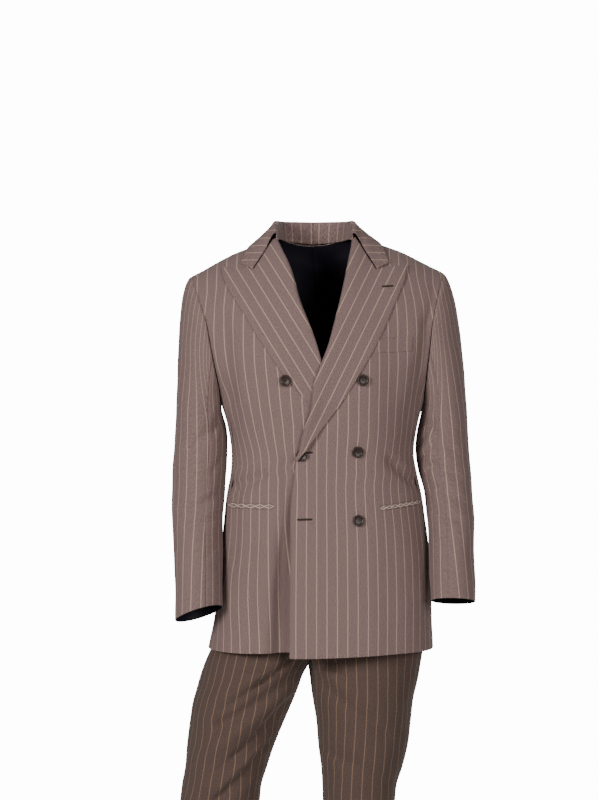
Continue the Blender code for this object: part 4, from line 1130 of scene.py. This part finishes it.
def even_share(place, axis):
    """Shares of one side of a surface at which its length runs evenly."""
    ends = np.linspace(0, 1, 401)
    sides = np.linspace(0.1, 0.9, 5)
    grid = np.meshgrid(ends, sides) if axis else np.meshgrid(sides, ends)
    run = arc_along(place(*grid), axis).mean(axis=1 - axis)
    return lambda share: np.interp(share, run / run[-1], ends)


def grid_normal(points, outward):
    across = np.gradient(points, axis=1)
    along = np.gradient(points, axis=0)
    normal = np.cross(across, along) * outward
    return normal / np.maximum(np.linalg.norm(normal, axis=-1, keepdims=True), 1e-12)


def seam_dip(across, along, width, height, seams):
    """Valley along the sewn edges of a piece; seams names them as l, r, b and t."""
    gaps = {"l": across * width, "r": (1 - across) * width, "b": along * height, "t": (1 - along) * height}
    out = 0
    for letter in seams:
        out = out - SEAM_DEPTH * np.clip(1 - gaps[letter] / SEAM_WIDTH, 0, 1) ** 2
    return out


# Folds that the photo doesn't show: x and height of both ends, half width, how far out
BACK_RELIEF = (
    (-0.155, -0.2, -0.14, -0.33, 0.012, -0.003),
    (0.175, -0.2, 0.16, -0.33, 0.012, -0.003),
    (-0.13, -0.402, -0.04, -0.386, 0.0085, -0.0024),
    (-0.12, -0.426, -0.05, -0.416, 0.01, 0.0014),
    (0.15, -0.406, 0.07, -0.388, 0.0085, -0.0024),
    (0.142, -0.43, 0.08, -0.419, 0.01, 0.0014),
    (-0.07, -0.5, -0.076, -0.7, 0.018, 0.0016),
    (0.098, -0.5, 0.106, -0.7, 0.018, 0.0016),
    (-0.06, -0.02, 0.01, -0.045, 0.01, -0.0012),
    (0.064, -0.02, -0.004, -0.048, 0.01, -0.0012),
)
BACK_LEG_RELIEF = (
    (-0.24, -1.0, -0.15, -1.036, 0.009, -0.0036),
    (-0.245, -1.046, -0.16, -1.082, 0.009, -0.0028),
    (-0.15, -0.8, -0.06, -0.77, 0.012, -0.0036),
    (0.14, -1.0, 0.05, -1.036, 0.009, -0.0036),
    (0.14, -1.046, 0.06, -1.08, 0.009, -0.0028),
    (0.16, -0.8, 0.06, -0.77, 0.012, -0.0036),
    (-0.26, -1.42, -0.19, -1.45, 0.012, -0.002),
    (0.13, -1.42, 0.05, -1.45, 0.012, -0.002),
)

WELT = (
    from_photo(375.0, 353.4, FRONT_DEPTH),
    from_photo(413.5, 350.8, FRONT_DEPTH),
    from_photo(414.5, 335.6, FRONT_DEPTH),
    from_photo(376.0, 339.6, FRONT_DEPTH),
)


def place_strip(corners, thick, side):
    """A strip laid flat on a front: u from its inner end out, v from its lower edge up."""
    (x0, z0), (x1, z1), (x2, z2), (x3, z3) = corners

    def place(u, v):
        x = (x0 * (1 - u) + x1 * u) * (1 - v) + (x3 * (1 - u) + x2 * u) * v
        z = (z0 * (1 - u) + z1 * u) * (1 - v) + (z3 * (1 - u) + z2 * u) * v
        base = lap_lift(x, z) if side > 0 else 0.0
        return on_front(x, z, base + STRIP_GAP + thick + front_relief(x, z))
    return place


# Materials

def colour(code):
    """Linear colour of an sRGB hex value."""
    parts = [int(code[i:i + 2], 16) / 255 for i in (1, 3, 5)]
    return tuple(c / 12.92 if c <= 0.04045 else ((c + 0.055) / 1.055) ** 2.4 for c in parts) + (1.0,)


def add_node(material, kind, sockets, **settings):
    """Adds a node: each socket is given a value, or another node's output to take it from."""
    tree = material.node_tree
    node = tree.nodes.new(kind)
    for name, value in settings.items():
        setattr(node, name, value)
    for socket, value in sockets.items():
        if isinstance(value, bpy.types.NodeSocket):
            tree.links.new(value, node.inputs[socket])
        else:
            node.inputs[socket].default_value = value
    return node


def new_material(name, roughness, sheen):
    material = bpy.data.materials.new(name)
    material.use_nodes = True
    shader = material.node_tree.nodes["Principled BSDF"]
    shader.inputs["Roughness"].default_value = roughness
    shader.inputs["Metallic"].default_value = 0.0
    shader.inputs["Specular IOR Level"].default_value = 0.25
    shader.inputs["Sheen Weight"].default_value = sheen
    shader.inputs["Sheen Roughness"].default_value = 0.5
    return material, shader


STRIPE_WIDTH = 0.0011
STRIPE_SOFT = 0.0008
STRIPE_WANDER = 0.0006
STRIPE_START = 0.484
YARN = 0.0014
YARN_HEIGHT = 0.0003


def striped_worsted(name, ground, dark_yarn, stripe):
    """Wool worsted, woven in a fine twill of mixed yarns: matte, with a chalk stripe whose
    soft, broken edges are the raised pale yarns. The real twill is 0.4 mm and is drawn at
    1.4 mm, as fine as it can still show."""
    material, shader = new_material(name, 0.86, 0.10)
    plan = add_node(material, "ShaderNodeUVMap", {}, uv_map="cloth").outputs["UV"]
    uneven = add_node(material, "ShaderNodeTexNoise", {"Vector": plan, "Scale": 260.0, "Detail": 2.0})
    split = add_node(material, "ShaderNodeSeparateXYZ", {0: plan}).outputs
    wander = add_node(material, "ShaderNodeMath",
                      {0: uneven.outputs["Fac"], 1: STRIPE_WANDER, 2: split["X"]},
                      operation="MULTIPLY_ADD").outputs[0]
    turns = add_node(material, "ShaderNodeMath", {0: wander, 1: 1 / STRIPE_PITCH, 2: STRIPE_START},
                     operation="MULTIPLY_ADD").outputs[0]
    part = add_node(material, "ShaderNodeMath", {0: turns}, operation="FRACT").outputs[0]
    middle = add_node(material, "ShaderNodeMath", {0: part, 1: 0.5}, operation="SUBTRACT").outputs[0]
    away = add_node(material, "ShaderNodeMath", {0: middle}, operation="ABSOLUTE").outputs[0]
    line = add_node(material, "ShaderNodeMapRange",
                    {"Value": away, "From Min": (STRIPE_WIDTH / 2 + STRIPE_SOFT) / STRIPE_PITCH,
                     "From Max": (STRIPE_WIDTH / 2 - STRIPE_SOFT / 2) / STRIPE_PITCH},
                    interpolation_type="SMOOTHSTEP").outputs[0]
    yarns = add_node(material, "ShaderNodeTexNoise", {"Vector": plan, "Scale": 1 / YARN, "Detail": 3.0,
                                                      "Roughness": 0.7}).outputs["Fac"]
    broken = add_node(material, "ShaderNodeMapRange", {"Value": yarns, "From Min": 0.36, "From Max": 0.60,
                                                       "To Min": 0.36, "To Max": 0.95}).outputs[0]
    shown = add_node(material, "ShaderNodeMath", {0: line, 1: broken}, operation="MULTIPLY").outputs[0]
    mottled = add_node(material, "ShaderNodeMapRange", {"Value": yarns, "From Min": 0.36,
                                                        "From Max": 0.64}).outputs[0]
    cloth = add_node(material, "ShaderNodeMix", {0: mottled, 6: colour(dark_yarn), 7: colour(ground)},
                     data_type="RGBA").outputs[2]
    chalked = add_node(material, "ShaderNodeMix", {0: shown, 6: cloth, 7: colour(stripe)},
                       data_type="RGBA").outputs[2]
    twill = add_node(material, "ShaderNodeTexWave", {"Vector": plan, "Scale": 1 / YARN / 6.28,
                                                     "Distortion": 0.6, "Detail": 1.0},
                     wave_type="BANDS", bands_direction="DIAGONAL").outputs["Fac"]
    weave = add_node(material, "ShaderNodeMath", {0: twill, 1: yarns}, operation="ADD").outputs[0]
    bump = add_node(material, "ShaderNodeBump",
                    {"Height": weave, "Strength": 0.25, "Distance": YARN_HEIGHT})
    material.node_tree.links.new(chalked, shader.inputs["Base Color"])
    material.node_tree.links.new(bump.outputs["Normal"], shader.inputs["Normal"])
    return material


def plain_lining():
    """Woven viscose lining: dark, smooth and slightly shiny; it shows only inside the openings."""
    material, shader = new_material("dark viscose lining, woven", 0.55, 0.0)
    shader.inputs["Base Color"].default_value = colour("#1d1a24")
    return material


def dark_horn():
    """Buffalo horn, turned and polished: nearly black brown with paler streaks and a soft gloss."""
    material, shader = new_material("buffalo horn, polished", 0.40, 0.0)
    shader.inputs["Specular IOR Level"].default_value = 0.35
    place = add_node(material, "ShaderNodeTexCoord", {}).outputs["Object"]
    spread = add_node(material, "ShaderNodeMapping",
                      {"Vector": place, "Scale": (1.0, 1.0, 3.0)}).outputs[0]
    streaks = add_node(material, "ShaderNodeTexNoise", {"Vector": spread, "Scale": 160.0, "Detail": 3.0,
                                                        "Distortion": 1.2}).outputs["Fac"]
    shade = add_node(material, "ShaderNodeMapRange", {"Value": streaks, "From Min": 0.40,
                                                      "From Max": 0.72}).outputs[0]
    horn = add_node(material, "ShaderNodeMix", {0: shade, 6: colour("#1b110d"), 7: colour("#3d281d")},
                    data_type="RGBA").outputs[2]
    material.node_tree.links.new(horn, shader.inputs["Base Color"])
    return material


def sewing_thread(name, code):
    """Spun cotton thread: matte and slightly hairy, so it has no gloss."""
    material, shader = new_material(name, 0.80, 0.15)
    shader.inputs["Base Color"].default_value = colour(code)
    return material


def pale_floor():
    """Matte painted board: pale and even, it only takes soft shadows."""
    material, shader = new_material("matte pale paint", 0.9, 0.0)
    shader.inputs["Base Color"].default_value = colour("#e9e8e6")
    return material


JACKET = striped_worsted("wool worsted, chalk stripe, jacket", "#8f7672", "#453633", "#b99c89")
# The trousers take the jacket's cloth. It is a little browner as its own tone, and darker as painted shade
# for the dimmer light low down and under the jacket's hem.
TROUSERS = striped_worsted("wool worsted, chalk stripe, trousers", "#5f4b43", "#332722", "#886b58")
LINING = plain_lining()
HORN = dark_horn()
DARK_THREAD = sewing_thread("cotton buttonhole thread, dark brown", "#2b1c18")
PALE_THREAD = sewing_thread("cotton basting thread, ecru", "#dccab8")


# Pieces

def register(piece, node):
    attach(piece, "root")
    if node:
        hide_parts(node)


def new_object(name, data):
    piece = bpy.data.objects.new(name, data)
    bpy.context.scene.collection.objects.link(piece)
    return piece


def reach_over(points, seams, reach):
    """Carries the sewn edges of a grid of points a little further, straight on."""
    for letter, edge, next_in in (("l", np.s_[:, 0], np.s_[:, 1]), ("r", np.s_[:, -1], np.s_[:, -2]),
                                  ("b", np.s_[0], np.s_[1]), ("t", np.s_[-1], np.s_[-2])):
        if letter in seams:
            away = points[edge] - points[next_in]
            points[edge] += away / np.linalg.norm(away, axis=-1, keepdims=True) * reach


def divided_slab(name, columns, rows):
    """A flat slab, one cell thick, and each vertex's row, column and side."""
    shape = bmesh.new()
    bmesh.ops.create_grid(shape, x_segments=columns, y_segments=rows, size=0.5)
    raised = bmesh.ops.extrude_face_region(shape, geom=shape.faces[:])
    top = [item for item in raised["geom"] if isinstance(item, bmesh.types.BMVert)]
    bmesh.ops.translate(shape, vec=(0, 0, 1), verts=top)
    bmesh.ops.recalc_face_normals(shape, faces=shape.faces[:])
    mesh = bpy.data.meshes.new(name)
    shape.to_mesh(mesh)
    shape.free()
    flat = np.empty(len(mesh.vertices) * 3)
    mesh.vertices.foreach_get("co", flat)
    flat = flat.reshape(-1, 3)
    column = np.rint((flat[:, 0] + 0.5) * columns).astype(int)
    row = np.rint((flat[:, 1] + 0.5) * rows).astype(int)
    return mesh, row, column, flat[:, 2] > 0.5


def face_outwards(mesh):
    check = bmesh.new()
    check.from_mesh(mesh)
    if check.calc_volume(signed=True) < 0:
        mesh.flip_normals()
    check.free()


def add_cloth(node, place, outward, relief, stripes, seams, trousers=False, thick=CLOTH,
              step=CLOTH_STEP, rim=0, inside=1, reach=SEAM_REACH):
    """A closed shell of cloth: a flat slab is divided finely and carried to its surface.
    At its seams it reaches over the solid's gap to the next piece. rim and inside say what
    its cut edges and its inner face show: 0 for the cloth, 1 for the lining."""
    coarse = np.linspace(0, 1, COARSE_ROWS)
    rough = place(*np.meshgrid(coarse, coarse))
    width = float(arc_along(rough, 1)[:, -1].max())
    height = float(arc_along(rough, 0)[-1].max())
    columns = max(8, int(width / step))
    rows = max(8, int(height / step))
    across, along = np.meshgrid(spaced(columns, width), spaced(rows, height))
    points = place(even_share(place, 1)(across), even_share(place, 0)(along))
    reach_over(points, seams, reach)
    plan = np.stack(np.broadcast_arrays(stripes(points, across, along), arc_along(points, 0)), axis=-1)
    out = relief(points, across, along) + seam_dip(across, along, width, height, seams)
    points = points + grid_normal(points, outward) * np.broadcast_to(out, across.shape)[..., None]
    normal = grid_normal(points, outward)
    edge = np.minimum(np.minimum(across, 1 - across) * width, np.minimum(along, 1 - along) * height)
    turned = EDGE_DROP * np.clip(1 - edge / EDGE_TURN, 0, 1)[..., None] ** 2
    outer = points - normal * turned
    inner = points - normal * (thick - turned / 2)

    mesh, row, column, under = divided_slab("cloth_" + node, columns, rows)
    worn = np.where(under[:, None], inner[row, column], outer[row, column])
    mesh.vertices.foreach_set("co", worn.ravel())
    corners = np.empty(len(mesh.loops), dtype=np.int32)
    mesh.loops.foreach_get("vertex_index", corners)
    layer = mesh.uv_layers.new(name="cloth")
    layer.data.foreach_set("uv", plan[row, column][corners].ravel())
    sides = under[corners].reshape(-1, 4)
    lined = np.where(sides.all(axis=1), inside, np.where(sides.any(axis=1), rim, 0))
    mesh.polygons.foreach_set("material_index", lined.astype(np.int32))
    mesh.materials.append(TROUSERS if trousers else JACKET)
    mesh.materials.append(LINING)
    face_outwards(mesh)
    mesh.shade_smooth()
    mesh.set_sharp_from_angle(angle=CLOTH_SHARP)
    mesh.update()
    piece = new_object("cloth_" + node, mesh)
    register(piece, node)
    longest = (float(arc_along(points, 1).max()), float(arc_along(points, 0).max()))


def add_thread(name, paths, radius, material, closed=False):
    """Sewn thread along one or more paths of points."""
    curve = bpy.data.curves.new(name, "CURVE")
    curve.dimensions = "3D"
    curve.bevel_depth = radius
    curve.bevel_resolution = 1
    curve.use_fill_caps = not closed
    for path in paths:
        spline = curve.splines.new("POLY")
        spline.points.add(len(path) - 1)
        for point, place in zip(spline.points, path):
            point.co = (*place, 1.0)
        spline.use_cyclic_u = closed
    holder = new_object(name + "_path", curve)
    bpy.context.view_layer.update()
    mesh = bpy.data.meshes.new_from_object(holder.evaluated_get(bpy.context.evaluated_depsgraph_get()))
    bpy.data.objects.remove(holder, do_unlink=True)
    bpy.data.curves.remove(curve)
    mesh.name = name
    mesh.materials.clear()
    mesh.materials.append(material)
    mesh.shade_smooth()
    register(new_object(name, mesh), None)


def front_points(x, z, side, lift):
    """Points on a front's shown face, lifted off it."""
    x, z = np.broadcast_arrays(np.asarray(x, dtype=float), np.asarray(z, dtype=float))
    base = lap_lift(x, z) - edge_fall(x, z) if side > 0 else 0.0
    return on_front(x, z, base + front_relief(x, z) + lift)


def add_basting(name, start, end, diamonds, half, side):
    """Pocket basted shut: two pale threads that cross back and forth over its mouth."""
    (x0, z0), (x1, z1) = [from_photo(*pixel, FRONT_DEPTH) for pixel in (start, end)]
    share = np.linspace(0, 1, diamonds * 8 + 1)
    paths = []
    for sign in (1, -1):
        swing = sign * half * np.arcsin(np.sin(share * diamonds * math.pi)) / (math.pi / 2)
        lift = BASTING_LIFT + BASTING_CROSS * np.cos(share * diamonds * math.pi) * sign
        paths.append(front_points(x0 + (x1 - x0) * share, z0 + (z1 - z0) * share + swing, side, lift))
    add_thread(name, paths, BASTING_THREAD, PALE_THREAD)


def add_buttonhole(name, start, end, place):
    """Worked buttonhole: a slit between two rows of dark purl, with a bar at its inner end.
    place carries x, height and lift to the cloth's shown face."""
    (x0, z0), (x1, z1) = [from_photo(*pixel, FRONT_DEPTH) for pixel in (start, end)]
    length = math.hypot(x1 - x0, z1 - z0)
    turn = np.linspace(0, 2 * math.pi, 33)[:-1]
    along = (np.cos(turn) * (0.5 + 0.08 * np.cos(turn) ** 2) + 0.5).clip(-0.02, 1.02)
    aside = PURL_ASIDE * np.sign(np.sin(turn)) * np.abs(np.sin(turn)) ** 0.35
    x = x0 + (x1 - x0) * along - (z1 - z0) / length * aside
    z = z0 + (z1 - z0) * along + (x1 - x0) / length * aside
    middle = np.linspace(0.02, 0.98, 14)
    slit = place(x0 + (x1 - x0) * middle, z0 + (z1 - z0) * middle, SLIT_LIFT)
    add_thread(name, [place(x, z, PURL_LIFT)], PURL_THREAD, DARK_THREAD, closed=True)
    add_thread(name + "_slit", [slit], SLIT_THREAD, DARK_THREAD)


def add_horn_button(name, x, z, under, twist):
    """A turned disc with a rounded rim, a dished middle and four bored holes, sewn on."""
    x, z = np.array(x), np.array(z)
    base = 0.0 if name == UNLAPPED_BUTTON else LAP_LIFT - edge_fall(x, z)
    seat = on_front(x, z, base + front_relief(x, z))
    out = body_normal(seat)
    thick = BUTTON_THICKNESS
    profile = [(BUTTON_RADIUS * share, under + thick * height) for share, height in BUTTON_PROFILE]
    shape = bmesh.new()
    corners = [shape.verts.new((reach, 0, height)) for reach, height in profile]
    edges = [shape.edges.new(pair) for pair in zip(corners, corners[1:])]
    bmesh.ops.spin(shape, geom=corners + edges, axis=(0, 0, 1), cent=(0, 0, 0),
                   angle=2 * math.pi, steps=48, use_merge=True)
    bmesh.ops.remove_doubles(shape, verts=shape.verts[:], dist=0.00002)
    bmesh.ops.recalc_face_normals(shape, faces=shape.faces[:])
    disc = bpy.data.meshes.new(name + "_disc")
    shape.to_mesh(disc)
    shape.free()
    bores = bmesh.new()
    for quarter in range(4):
        turn = math.pi / 4 + quarter * math.pi / 2
        spot = (HOLE_OFF * math.cos(turn), HOLE_OFF * math.sin(turn), under + thick / 2)
        bmesh.ops.create_cone(bores, cap_ends=True, segments=16, radius1=HOLE_RADIUS,
                              radius2=HOLE_RADIUS, depth=thick * 2, matrix=Matrix.Translation(spot))
    cutter = bpy.data.meshes.new(name + "_bores")
    bores.to_mesh(cutter)
    bores.free()
    body = new_object(name + "_a", disc)
    tool = new_object(name + "_b", cutter)
    cut = body.modifiers.new("bores", "BOOLEAN")
    cut.operation = "DIFFERENCE"
    cut.solver = "EXACT"
    cut.object = tool
    bpy.context.view_layer.update()
    mesh = bpy.data.meshes.new_from_object(body.evaluated_get(bpy.context.evaluated_depsgraph_get()))
    bpy.data.objects.remove(body, do_unlink=True)
    bpy.data.objects.remove(tool, do_unlink=True)
    shape = bmesh.new()
    shape.from_mesh(mesh)
    tilt = Vector((0, 0, 1)).rotation_difference(Vector(out)).to_matrix().to_4x4()
    turned = Matrix.Translation(Vector(seat)) @ tilt @ Matrix.Rotation(math.radians(twist), 4, "Z")
    bmesh.ops.transform(shape, matrix=turned, verts=shape.verts[:])
    shape.to_mesh(mesh)
    shape.free()
    mesh.name = name
    mesh.materials.clear()
    mesh.materials.append(HORN)
    mesh.shade_smooth()
    mesh.set_sharp_from_angle(angle=HORN_SHARP)
    register(new_object("horn_" + name, mesh), name)
    paths = []
    for sign in (-1, 1):
        share = np.linspace(-1, 1, 9)
        for offset in (-0.00022, 0.00022):
            height = under + thick * 0.50 + thick * 0.20 * (1 - share ** 4)
            paths.append([turned @ Vector((s * HOLE_OFF * 0.75, sign * STITCH_ASIDE + offset, h))
                          for s, h in zip(share, height)])
    turns = np.linspace(0, 5 * 2 * math.pi, 61)
    climb = np.linspace(0.0002, under - 0.0001, 61)
    paths.append([turned @ Vector((SHANK_COIL * math.cos(t), SHANK_COIL * math.sin(t), h))
                  for t, h in zip(turns, climb)])
    add_thread("thread_" + name, paths, BUTTON_THREAD, DARK_THREAD)


def no_relief(points, across, along):
    return 0.0


def front_shape(points, across, along):
    """Folds, fading out at the seam to the side panel, where the two pieces meet."""
    return front_relief(points[..., 0], points[..., 2]) * ease(1 - across, 0.0, SIDE_SEAM_FADE)


def back_shape(points, across, along):
    x, z = points[..., 0], points[..., 2]
    middle_seam = -MIDDLE_SEAM_DEPTH * np.exp(-((x - read(BODY, 1, z)) / MIDDLE_SEAM_WIDTH) ** 2)
    return creased(x, z, BACK_RELIEF) + waves(x, z, BACK_WAVE, 2.0) + middle_seam


def side_shape(points, across, along):
    return waves(points[..., 1], points[..., 2], SIDE_WAVE, 4.0)


def sleeve_shape(side, start, end):
    table = LEFT_SLEEVE_RELIEF if side > 0 else RIGHT_SLEEVE_RELIEF

    def relief(points, across, along):
        angle = start + (end - start) * across
        facing = np.clip(np.sin(angle), 0, 1)
        soft = waves(angle * ARM_RADIUS, points[..., 2], SLEEVE_WAVE, 1.0 + side)
        bend = np.exp(-((points[..., 2] - ELBOW_HEIGHT) / ELBOW_WIDTH) ** 2)
        elbow = -ELBOW_DEPTH * bend * np.clip(-np.sin(angle), 0, 1)
        folds = creased(points[..., 0], points[..., 2], table) * facing + soft + elbow
        return folds * ease(along, 0.0, SLEEVE_HEAD_FADE)
    return relief


def leg_shape(side, back):
    table = BACK_LEG_RELIEF if back else (LEFT_LEG_RELIEF if side > 0 else RIGHT_LEG_RELIEF)

    def relief(points, across, along):
        facing = np.clip(np.sin(across * math.pi) * LEG_SEAM_FADE, 0, 1)
        soft = waves(points[..., 0], points[..., 2], LEG_WAVE, 3.0 + side + 2 * back)
        return creased(points[..., 0], points[..., 2], table) * facing + soft * facing
    return relief


def front_stripes(inner_line, outer_line, count):
    return stripes_between(line_of(inner_line, FRONT_DEPTH), line_of(outer_line, FRONT_DEPTH), count)


RIGHT_STRIPES = front_stripes(RIGHT_FRONT_LINE, RIGHT_FRONT_OUTER_LINE, RIGHT_FRONT_COUNT)
LEFT_STRIPES = front_stripes(LEFT_FRONT_LINE, LEFT_FRONT_OUTER_LINE, LEFT_FRONT_COUNT)
TOP_START = ELBOW_SEAM - 2 * math.pi

for side, word, striped, sleeve_line, leg_line, forearm in (
        (-1, "right", RIGHT_STRIPES, RIGHT_SLEEVE_LINE, RIGHT_LEG_LINE, RIGHT_FOREARM_SEAM),
        (1, "left", LEFT_STRIPES, LEFT_SLEEVE_LINE, LEFT_LEG_LINE, LEFT_FOREARM_SEAM)):
    add_cloth(f"front_{word}", place_front(side), side, front_shape, striped, "rt")
    add_cloth(f"side_{word}", place_side(side), side, side_shape, stripes_from_edge(SIDE_STRIPE), "lrt")
    add_cloth(f"back_{word}", place_back(side), -side, back_shape, stripes_from_edge(BACK_STRIPE), "lrt")
    add_cloth(f"lapel_{word}", place_lapel(side), side, no_relief, stripes_on_lapel(side), "t",
              step=LAPEL_STEP)
    outer_share = -TOP_START / (forearm - TOP_START)
    add_cloth(f"sleeve_top_{word}", place_sleeve(side, TOP_START, forearm), side,
              sleeve_shape(side, TOP_START, forearm),
              stripes_on_line(line_of(sleeve_line, SLEEVE_DEPTH), outer_share), "lrb",
              step=SLEEVE_TOP_STEP, rim=1, reach=SLEEVE_REACH)
    add_cloth(f"sleeve_under_{word}", place_sleeve(side, forearm, ELBOW_SEAM), side,
              sleeve_shape(side, forearm, ELBOW_SEAM), stripes_from_edge(UNDER_SLEEVE_STRIPE), "lrb",
              step=SLEEVE_UNDER_STEP, rim=1, reach=SLEEVE_REACH)
    add_cloth(f"trouser_front_{word}", place_leg(side, False), -side, leg_shape(side, False),
              stripes_on_line(line_of(leg_line, LEG_DEPTH)), "lrb", trousers=True)
    add_cloth(f"trouser_back_{word}", place_leg(side, True), side, leg_shape(side, True),
              stripes_from_edge(BACK_LEG_STRIPE), "lrb", trousers=True)

add_cloth("collar", place_collar, 1, no_relief, stripes_on_collar, "",
          step=COLLAR_STEP, inside=0)
add_cloth("breast_welt", place_strip(WELT, WELT_LIFT, 1), 1, no_relief, LEFT_STRIPES, "lr",
          thick=WELT_LIFT, step=STRIP_STEP)
add_cloth("hip_pocket_right", place_strip(RIGHT_POCKET, JET_LIFT, -1), -1, no_relief, RIGHT_STRIPES, "",
          thick=SHOWN_JET, step=STRIP_STEP)
add_cloth("hip_pocket_left", place_strip(LEFT_POCKET, JET_LIFT, 1), 1, no_relief, LEFT_STRIPES, "",
          thick=SHOWN_JET, step=STRIP_STEP)
add_cloth("waistband", place_waistband, 1, no_relief, stripes_from_edge(0.0), "",
          trousers=True)
add_cloth("fly", place_fly, 1, no_relief, stripes_from_edge(0.0), "",
          trousers=True, thick=JET_CLOTH)

for button in BUTTONS:
    add_horn_button(*button)


def on_left_front(x, z, lift):
    return front_points(x, z, 1, lift)


def on_left_lapel(x, z, lift):
    rolled = ROLL_RADIUS - CLOTH / 2 + LAPEL_HOLE_LIFT
    return on_front(x, z, lap_lift(x, z) + rolled + front_relief(x, z) * LAPEL_RELIEF + lift)


add_basting("basting_hip_pocket_right", (227.5, 507.2), (273.5, 507.0), 5, 0.0034, -1)
add_basting("basting_hip_pocket_left", (380.0, 509.0), (422.0, 503.8), 7, 0.0026, 1)
add_buttonhole("buttonhole_bottom", (298.0, 519.8), (311.6, 519.5), on_left_front)
add_buttonhole("buttonhole_middle", (299.5, 453.2), (312.0, 452.4), on_left_front)
add_buttonhole("buttonhole_lapel", (383.0, 286.0), (393.6, 285.2), on_left_lapel)


# Floor, light and camera

FLOOR_SIZE = (3.4, 3.6)
FLOOR_HEIGHT = -1.5570


def add_floor():
    shape = bmesh.new()
    bmesh.ops.create_grid(shape, x_segments=1, y_segments=1, size=0.5)
    bmesh.ops.scale(shape, vec=(*FLOOR_SIZE, 1.0), verts=shape.verts[:])
    bmesh.ops.translate(shape, vec=(0.0, 0.4, FLOOR_HEIGHT), verts=shape.verts[:])
    mesh = bpy.data.meshes.new("floor")
    shape.to_mesh(mesh)
    shape.free()
    mesh.materials.append(pale_floor())
    new_object("floor", mesh)


def add_light(name, place, target_height, size, power):
    """A soft square lamp that looks at the suit's middle at the given height."""
    light = bpy.data.lights.new(name, "AREA")
    light.shape = "SQUARE"
    light.size = size
    light.energy = power
    holder = new_object(name, light)
    holder.location = place
    aim = Vector((0, 0, target_height)) - Vector(place)
    holder.rotation_euler = aim.to_track_quat("-Z", "Y").to_euler()


add_floor()
add_light("key", (-2.3, -2.8, 0.5), -0.25, 1.0, 120)
add_light("fill", (1.5, -3.2, 0.4), -0.25, 1.3, 74)
add_light("top", (0.0, 0.4, 2.4), -0.3, 1.6, 5)
add_light("back", (0.8, 2.9, 0.5), -0.4, 2.0, 55)

# A faint even light all round, and a white wall behind that only the camera sees
world = bpy.data.worlds.new("studio")
world.use_nodes = True
faint = world.node_tree.nodes["Background"]
faint.inputs["Color"].default_value = colour("#ffffff")
faint.inputs["Strength"].default_value = 0.12
wall = add_node(world, "ShaderNodeBackground", {"Color": colour("#ffffff"), "Strength": 14.0})
seen = add_node(world, "ShaderNodeLightPath", {}).outputs["Is Camera Ray"]
both = add_node(world, "ShaderNodeMixShader", {0: seen, 1: faint.outputs[0], 2: wall.outputs[0]})
world.node_tree.links.new(both.outputs[0], world.node_tree.nodes["World Output"].inputs["Surface"])
bpy.context.scene.world = world

lens = bpy.data.cameras.new("photo view")
lens.sensor_fit = "VERTICAL"
lens.angle = 2 * math.atan(VIEW_HEIGHT / 2 / VIEW_DISTANCE)
camera = new_object("photo view", lens)
camera.location = (VIEW_X, -VIEW_DISTANCE, VIEW_Z)
camera.rotation_euler = (math.pi / 2, 0, 0)
bpy.context.scene.camera = camera
